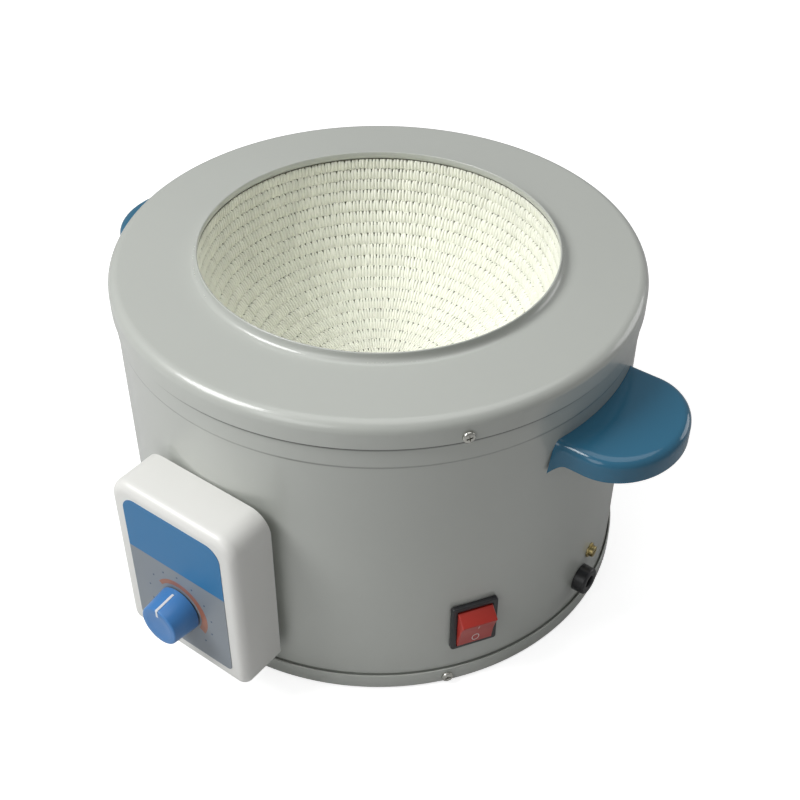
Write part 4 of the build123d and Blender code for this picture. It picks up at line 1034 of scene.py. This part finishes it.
pick(mesh, mesh.faces, lambda f: f.normal.z < -0.9)
bpy.ops.mesh.inset(thickness=0.5 * MM, depth=0.4 * MM)
bpy.ops.mesh.inset(thickness=SHELL * MM, depth=0)
bpy.ops.mesh.extrude_region_move(TRANSFORM_OT_translate={"value": (0, 0, HOLLOW * MM)})
bpy.ops.object.mode_set(mode="OBJECT")
mesh = edit(handle, "VERT")
for vert in mesh.verts:
    x, y, z = vert.co / MM
    if x < FIT_X:
        skin = math.sqrt((WALL_R + 0.05) ** 2 - min(abs(y), FOOT_HALF) ** 2)
        x = skin + (x - BACK_STEPS[-1]) * (FIT_X - skin) / (FIT_X - BACK_STEPS[-1])
        vert.co.x = x * MM
    bend = max(0.0, min(1.0, (FLARE_X - x) / FLARE_LONG)) ** 2
    drop = max(0.0, min(1.0, (HANDLE_TOP - 3.6 - z) / 5.0))
    sink = max(0.0, (HANDLE_TOP - 4.0 - z) / 9.0)
    edge = (abs(y) - (HALF - FLARE_BAND)) / FLARE_BAND
    if edge > 0 and z < HANDLE_TOP - 0.3:
        vert.co.y += math.copysign(FLARE_OUT * bend * drop * edge, y) * MM
        vert.co.z -= FLARE_DOWN * bend * sink * edge * MM
bmesh.update_edit_mesh(handle.data)
bpy.ops.object.mode_set(mode="OBJECT")
smooth(handle, 36)
left = copy_of(handle)
left.rotation_euler = (0, 0, math.pi)
bake_place(left)
finish_piece(handle, "handle_shell_right", "case", PLASTIC_BLUE, ["handle_right"])
finish_piece(left, "handle_shell_left", "case", PLASTIC_BLUE, ["handle_left"])

# %% [markdown]
# ## Knitted bowl
#
# The bowl is knitted from glass yarn in rings. Every stitch is a pair of fat legs that meet at
# the bottom, with a small dark hole between their tops. One stitch is modelled, and its
# numbers are copied about 2,400 times, a little different each time.

# %% Model one stitch
LEG_PATH = (  # across the row, up the row, out of the cloth, and the leg's radius
    (0.30, 0.06, -0.16, 0.13), (0.29, -0.06, 0.03, 0.215), (0.265, -0.20, 0.07, 0.25),
    (0.25, -0.50, 0.08, 0.26), (0.22, -0.78, 0.05, 0.235), (0.15, -1.03, -0.16, 0.15),
)


def stitch_leg(side):
    """One leg: a six sided loop pulled down the row in steps. Lengths are shares of a pitch."""
    deselect()
    u0, v0, w0, r0 = LEG_PATH[0]
    bpy.ops.mesh.primitive_circle_add(vertices=6, radius=r0, rotation=(math.pi / 2, 0, 0))
    leg = bpy.context.object
    leg.location = (side * u0, v0, w0)
    bake_place(leg)
    bpy.ops.object.mode_set(mode="EDIT")
    bpy.ops.mesh.select_mode(type="EDGE")
    bpy.ops.mesh.select_all(action="SELECT")
    for (ua, va, wa, ra), (ub, vb, wb, rb) in zip(LEG_PATH, LEG_PATH[1:]):
        shift = (side * (ub - ua), vb - va, wb - wa)
        bpy.ops.mesh.extrude_edges_move(TRANSFORM_OT_translate={"value": shift})
        grow = rb / ra
        bpy.ops.transform.resize(value=(grow, 1, grow), center_override=(side * ub, vb, wb))
    face_outward()
    return leg


stitch = join([stitch_leg(-1), stitch_leg(1)])
points = np.array([v.co[:] for v in stitch.data.vertices])
faces = np.array([f.vertices[:] for f in stitch.data.polygons])
bpy.data.objects.remove(stitch)
print("one stitch:", len(points), "points", len(faces), "faces")

# %% [markdown]
# Each row is a ring on the bowl's sphere, and a lower ring has fewer stitches. An array
# modifier can't follow that, so the numbers of one stitch are bent round the sphere for each
# place. A seeded random number moves, leans and swells each stitch a little, as hand feed does.

# %% Knit the rows
NARROW = 2.25  # a stitch's pitch at the pole, and how much it grows per mm of ring
WIDEN = 0.0187
CLOTH_OUT = 0.9  # how far the legs' middle lies outside the bowl's radius
LEAST_RING = 5.0
random.seed(7)


def knit(name, first, last, nodes_replaced=()):
    """The stitches of some rows as one mesh. u runs round the bowl, v up the wall, w out of it."""
    all_points = []
    strands = []
    for row in range(first, last):
        top = row * STEP
        ring = BOWL_R * math.cos(top + STEP / 2)
        if ring < LEAST_RING:
            continue
        count = round(2 * math.pi * ring / (NARROW + WIDEN * ring))
        pitch = 2 * math.pi * ring / count
        height = BOWL_R * STEP
        offset = random.random()
        for i in range(count):
            size = 1 + random.uniform(-0.06, 0.06)
            lean = random.uniform(-0.07, 0.07)
            u = points[:, 0] * size + lean * points[:, 1]
            v = points[:, 1] + random.uniform(-0.05, 0.05)
            w = points[:, 2] * pitch * (0.92 + random.uniform(-0.10, 0.10))
            turn = 2 * math.pi * (i + offset + random.uniform(-0.04, 0.04)) / count
            down = top - v * STEP
            radius = (BOWL_R + CLOTH_OUT) - w
            cloth = radius * np.cos(down)
            away = u * pitch / ring
            x = cloth * np.cos(turn + away)
            y = cloth * np.sin(turn + away)
            z = BOWL_Z - radius * np.sin(down)
            all_points.append(np.stack((x, y, z), 1) * MM)
            strands.append(i % 7 / 7 + random.random() * 0.2)
    total = len(all_points)
    block_points = np.concatenate(all_points)
    block_faces = np.concatenate([faces + k * len(points) for k in range(total)])
    mesh = bpy.data.meshes.new(name)
    mesh.from_pydata(block_points, [], block_faces.tolist())
    tone = mesh.attributes.new("tone", "FLOAT", "POINT")
    tone.data.foreach_set("value", np.repeat(np.array(strands, dtype=np.float32), len(points)))
    piece = bpy.data.objects.new(name, mesh)
    bpy.context.scene.collection.objects.link(piece)
    smooth(piece, 75)
    finish_piece(piece, name, "case", YARN, nodes_replaced)
    print(name, "stitches", total)


knit("weave_upper", 0, 9, ["heating_bowl"])
knit("weave_lower", 9, ROWS)

# %% [markdown]
# Behind the stitches lies the dense back of the cloth, one more turned shape: a shallow ridge for
# each row, and a furrow in painted shade where two rows meet. The hem turns out under the cover.

# %% Back of the cloth
RIPPLE = ((0.86, 0.95), (0.5, 0.85), (0.20, 1.2), (0.02, 1.5))  # share of a row, depth behind it
BACK_R = 97.9
HEM_R = 121.0
HEM_Z0, HEM_Z1 = 182.5, 184.7
back_profile = []
for row in range(ROWS - 1, -1, -1):
    for share, deep in RIPPLE:
        down = (row + share) * STEP
        radius = BOWL_R + deep
        back_profile.append((radius * math.cos(down), BOWL_Z - radius * math.sin(down)))
hem = arc((98.3, 189.4), 4.7, 215, 270, 4) + [(HEM_R, HEM_Z1), (HEM_R, HEM_Z0), (101.5, HEM_Z0)]
back_skin = arc((0, BOWL_Z), BACK_R, -3, -89, 24)
cloth = turned(back_profile + hem + back_skin, 192)
smooth(cloth, 40)
finish_piece(cloth, "cloth_back", "case", CLOTH)

# %% [markdown]
# A blanket of glass wool fills the space between bowl and pot. Nobody sees it from outside, so
# it is a plain turned shell with a fuzzy, uneven finish.

# %% Wool blanket
WOOL_R = 113.0
wool_profile = arc((0, BOWL_Z), WOOL_R, -89, -3, 24) + arc((0, BOWL_Z), BACK_R + 1.0, -3, -89, 24)
wool = turned(wool_profile, 128)
smooth(wool, 40)
finish_piece(wool, "wool_blanket", "case", WOOL, ["insulation"])

# %% [markdown]
# ## The parts inside
#
# Nuts, terminals, the pot and the card stay as the frame gives them, because the case hides
# them. Each still gets the finish of what it is made of: someone may open the case.

# %% Finish the inner parts
INNER_FINISHES = (
    (ZINC, ("base_nuts", "cover_nuts", "block_nuts", "block_screws", "box_mount_nuts", "box_mount_screws",
            "box_screws", "handle_screws", "potentiometer_nut")),
    (BRASS, ("earth_nut", "switch_terminals")),
    (STEEL, ("inner_pot", "element_leads", "potentiometer")),
    (ALUMINIUM, ("heat_sink", "potentiometer_shaft")),
    (CERAMIC, ("terminal_block", "lead_sleeves")),
    (PLASTIC_WHITE, ("box_back",)),
    (NYLON, ("card_spacers",)),
    (BOARD, ("circuit_board",)),
    (YELLOW, ("capacitors",)),
    (BLACK, ("triac", "bushing_nut")),
    (RUBBER, ("lead_grommet",)),
)
for material, names in INNER_FINISHES:
    for name in names:
        nodes[name].data.materials.clear()
        nodes[name].data.materials.append(material)
    print(material.name, "on", len(names), "inner parts")

# %% [markdown]
# ## View and light
#
# The camera looks down at the right front corner with a medium lens. Its place, target, small
# roll and lens are the whole view, and it has no depth of field.

# %% Camera
CAMERA_AT = Vector((334.4, -437.3, 546.3)) * MM
LOOK_AT = Vector((9.28, 7.01, 83.36)) * MM
ROLL = math.radians(0.584)
LENS = 56.35
SENSOR = 36.0
camera_data = bpy.data.cameras.new("camera")
camera = bpy.data.objects.new("camera", camera_data)
bpy.context.scene.collection.objects.link(camera)
camera.matrix_world = (
    Matrix.Translation(CAMERA_AT)
    @ (LOOK_AT - CAMERA_AT).to_track_quat("-Z", "Y").to_matrix().to_4x4()
    @ Matrix.Rotation(ROLL, 4, "Z")
)
camera_data.lens = LENS
camera_data.sensor_width = SENSOR
camera_data.clip_start = 0.01
camera_data.clip_end = 20.0
bpy.context.scene.camera = camera
print("camera", round((LOOK_AT - CAMERA_AT).length / MM), "mm away, lens", LENS, "mm")

# %% [markdown]
# The light is a plain studio: a soft key from the front left, a wide lamp overhead, and weak
# ones in front and behind so that no side goes black. Camera rays see a white background, but
# little of it reaches the object: some in reflections, and a faint fill. The pale floor keeps
# the shadow.

# %% Studio
REFLECTED = 0.30  # the white surroundings as glossy rays see them
FILL = 0.06  # and as light on the object
FLOOR_GREY = 0.64
FLOOR_GLOW = 0.76  # seen by the camera only
CENTRE = Vector((0, 0, 0.1))
LAMPS = (  # name, place in metres, size in metres, power in watts
    ("key", (-0.75, -0.95, 1.40), 0.9, 22),
    ("over", (0.1, 0.2, 1.6), 1.6, 8.5),
    ("front", (0.1, -1.5, 0.9), 0.9, 4.5),
    ("back", (0.9, 1.5, 0.45), 0.9, 4.5),
)
scene = bpy.context.scene
scene.view_settings.view_transform = "Standard"
world = bpy.data.worlds.new("studio")
scene.world = world
world.use_nodes = True
tree = world.node_tree
background = tree.nodes["Background"]
rays = tree.nodes.new("ShaderNodeLightPath")
seen = math_node(tree, "MAXIMUM", rays.outputs["Is Camera Ray"], rays.outputs["Is Transmission Ray"])
shine = math_node(tree, "MULTIPLY", rays.outputs["Is Glossy Ray"], REFLECTED)
strength = math_node(tree, "MAXIMUM", math_node(tree, "MAXIMUM", seen, shine), FILL)
background.inputs["Color"].default_value = (1, 1, 1, 1)
link(tree, strength, background.inputs["Strength"])

for name, place, size, power in LAMPS:
    lamp_data = bpy.data.lights.new(name, "AREA")
    lamp_data.shape = "DISK"
    lamp_data.size = size
    lamp_data.energy = power
    lamp = bpy.data.objects.new(name, lamp_data)
    scene.collection.objects.link(lamp)
    lamp.location = place
    lamp.rotation_euler = (CENTRE - Vector(place)).to_track_quat("-Z", "Y").to_euler()
    print("lamp", name, power, "W")

deselect()
bpy.ops.mesh.primitive_plane_add(size=6.0, location=(0, 0, -0.0002))
floor = bpy.context.object
floor.name = "floor"
floor_material = bpy.data.materials.new("floor")
floor_material.use_nodes = True
tree = floor_material.node_tree
shader = tree.nodes["Principled BSDF"]
shader.inputs["Base Color"].default_value = (FLOOR_GREY, FLOOR_GREY, FLOOR_GREY, 1)
shader.inputs["Roughness"].default_value = 0.9
shader.inputs["Emission Color"].default_value = (1, 1, 1, 1)
rays = tree.nodes.new("ShaderNodeLightPath")
glow = math_node(tree, "MULTIPLY", rays.outputs["Is Camera Ray"], FLOOR_GLOW)
link(tree, glow, shader.inputs["Emission Strength"])
floor.data.materials.append(floor_material)
